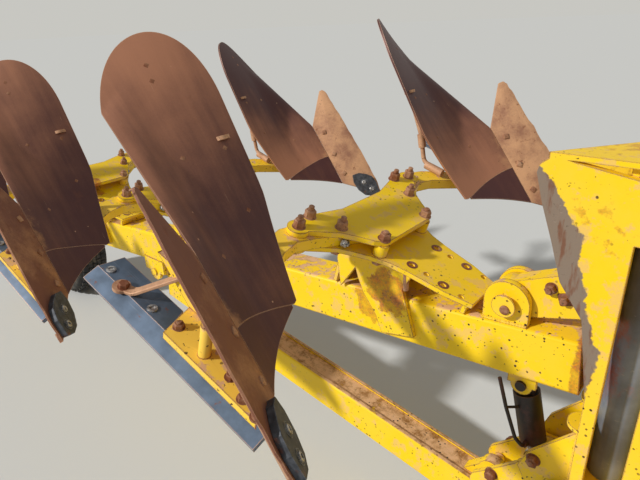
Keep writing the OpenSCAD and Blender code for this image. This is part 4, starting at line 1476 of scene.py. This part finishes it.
class PLOUGH_OT_wheel(bpy.types.Operator):
    """Tyre of the rear wheel with its tread"""

    bl_idname = "plough.wheel"
    bl_label = "Rear wheel"

    def execute(self, context):
        low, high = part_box("tyre")
        made = tyre_mesh()
        place(made, Matrix.Translation((low + high) / 2) @ Matrix.Rotation(math.radians(90), 4, "X"))
        piece("treaded_tyre", made, rubber(), "wheel", replaced=["tyre"])
        return {"FINISHED"}


# Camera, lamps and floor

CAMERA_PLACE = (0.473, -1.274, 0.762)
CAMERA_YAW = 131.49
CAMERA_DIP = 23.51
CAMERA_ROLL = -2.42
PHOTO_WIDTH = 640
FOCAL_PIXELS = 518.0
SENSOR = 36.0
VIEW_END = 300
KEY_LIGHT = 3.3
KEY_COLOUR = (1.0, 0.96, 0.90)
KEY_TURN = 240.7
KEY_RISE = 34.0
KEY_SPREAD = 3.0
SKY_LIGHT = 0.36
SKY_COLOUR = (1.0, 0.95, 0.88)
SEEN_COLOUR = (0.575, 0.57, 0.535)
FLOOR_RADIUS = 90.0
FLOOR_STEPS = 64


def pointing(turn, rise):
    """Direction at a turn from X towards Y and at a rise above the ground, in degrees."""
    turn, rise = math.radians(turn), math.radians(rise)
    return Vector((math.cos(rise) * math.cos(turn), math.cos(rise) * math.sin(turn), math.sin(rise)))


class PLOUGH_OT_stage(bpy.types.Operator):
    """Camera, lamps and the pale floor"""

    bl_idname = "plough.stage"
    bl_label = "Stage"

    def execute(self, context):
        self.make_camera()
        self.make_lamps()
        self.make_floor()
        context.scene.view_settings.view_transform = "Standard"
        return {"FINISHED"}

    def make_camera(self):
        """Camera at the photograph's viewpoint."""
        data = bpy.data.cameras.new("camera")
        data.sensor_width = SENSOR
        data.lens = FOCAL_PIXELS / PHOTO_WIDTH * SENSOR
        data.clip_end = VIEW_END
        camera = new_object("camera", data)
        yaw, roll = math.radians(CAMERA_YAW), math.radians(CAMERA_ROLL)
        ahead = pointing(CAMERA_YAW, -CAMERA_DIP)
        right = Vector((math.sin(yaw), -math.cos(yaw), 0))
        up = right.cross(ahead)
        right, up = right * math.cos(roll) + up * math.sin(roll), up * math.cos(roll) - right * math.sin(roll)
        axes = Matrix((right, up, -ahead)).transposed().to_4x4()
        camera.matrix_world = Matrix.Translation(at_axis(*CAMERA_PLACE)) @ axes
        bpy.context.scene.camera = camera

    def make_lamps(self):
        """Low sun and sky; the camera and reflections see a plain backdrop in the sky's place."""
        world = bpy.data.worlds.new("studio")
        world.use_nodes = True
        nodes, links = world.node_tree.nodes, world.node_tree.links
        sky, seen = nodes["Background"], nodes.new("ShaderNodeBackground")
        for node, seen_colour, strength in ((sky, SKY_COLOUR, SKY_LIGHT), (seen, SEEN_COLOUR, 1.0)):
            node.inputs["Color"].default_value = (*seen_colour, 1)
            node.inputs["Strength"].default_value = strength
        path = nodes.new("ShaderNodeLightPath")
        either = nodes.new("ShaderNodeMath")
        either.operation = "MAXIMUM"
        links.new(path.outputs["Is Camera Ray"], either.inputs[0])
        links.new(path.outputs["Is Glossy Ray"], either.inputs[1])
        mixer = nodes.new("ShaderNodeMixShader")
        links.new(either.outputs[0], mixer.inputs[0])
        links.new(sky.outputs[0], mixer.inputs[1])
        links.new(seen.outputs[0], mixer.inputs[2])
        links.new(mixer.outputs[0], nodes["World Output"].inputs["Surface"])
        bpy.context.scene.world = world
        sun = bpy.data.lights.new("key", "SUN")
        sun.energy = KEY_LIGHT
        sun.angle = math.radians(KEY_SPREAD)
        sun.color = KEY_COLOUR
        key = new_object("key", sun)
        key.rotation_mode = "QUATERNION"
        key.rotation_quaternion = (-pointing(KEY_TURN, KEY_RISE)).to_track_quat("-Z", "Y")

    def make_floor(self):
        """Wide round floor."""
        finish = Finish("studio_floor")
        finish.set(Base_Color=tuple(colours().floor), Roughness=0.9, Specular_IOR_Level=0.0)
        made = bmesh.new()
        rim = [made.verts.new((x, y, 0)) for x, y in circle(FLOOR_RADIUS, FLOOR_STEPS)]
        middle = made.verts.new((0, 0, 0))
        for k in range(FLOOR_STEPS):
            made.faces.new([middle, rim[k], rim[(k + 1) % FLOOR_STEPS]])
        floor = solid("studio_floor", made, finish.material)


OPERATORS = [
    PLOUGH_OT_stage,
    PLOUGH_OT_boards,
    PLOUGH_OT_shins,
    PLOUGH_OT_shares,
    PLOUGH_OT_body_fasteners,
    PLOUGH_OT_board_braces,
    PLOUGH_OT_frame_fasteners,
    PLOUGH_OT_welds,
    PLOUGH_OT_steel_nodes,
    PLOUGH_OT_painted_nodes,
    PLOUGH_OT_cylinders,
    PLOUGH_OT_wheel,
]


class PLOUGH_PT_sidebar(bpy.types.Panel):
    """Lists the plough's sizes, colours and pieces"""

    bl_idname = "PLOUGH_PT_sidebar"
    bl_label = "Plough"
    bl_space_type = "VIEW_3D"
    bl_region_type = "UI"
    bl_category = "Plough"

    def draw(self, context):
        for group in (context.scene.plough_sizes, context.scene.plough_colours):
            for name in group.bl_rna.properties.keys():
                if name not in ("rna_type", "name"):
                    self.layout.prop(group, name)
        for operator in OPERATORS:
            self.layout.operator(operator.bl_idname)


CLASSES = [PloughSizes, PloughColours, *OPERATORS, PLOUGH_PT_sidebar]


def register():
    for cls in CLASSES:
        bpy.utils.register_class(cls)
    bpy.types.Scene.plough_sizes = PointerProperty(type=PloughSizes)
    bpy.types.Scene.plough_colours = PointerProperty(type=PloughColours)


def unregister():
    del bpy.types.Scene.plough_colours
    del bpy.types.Scene.plough_sizes
    for cls in reversed(CLASSES):
        bpy.utils.unregister_class(cls)


def main():
    """Builds every piece."""
    register()
    for operator in OPERATORS:
        group, name = operator.bl_idname.split(".")
        getattr(getattr(bpy.ops, group), name)()


if __name__ == "__main__":
    main()
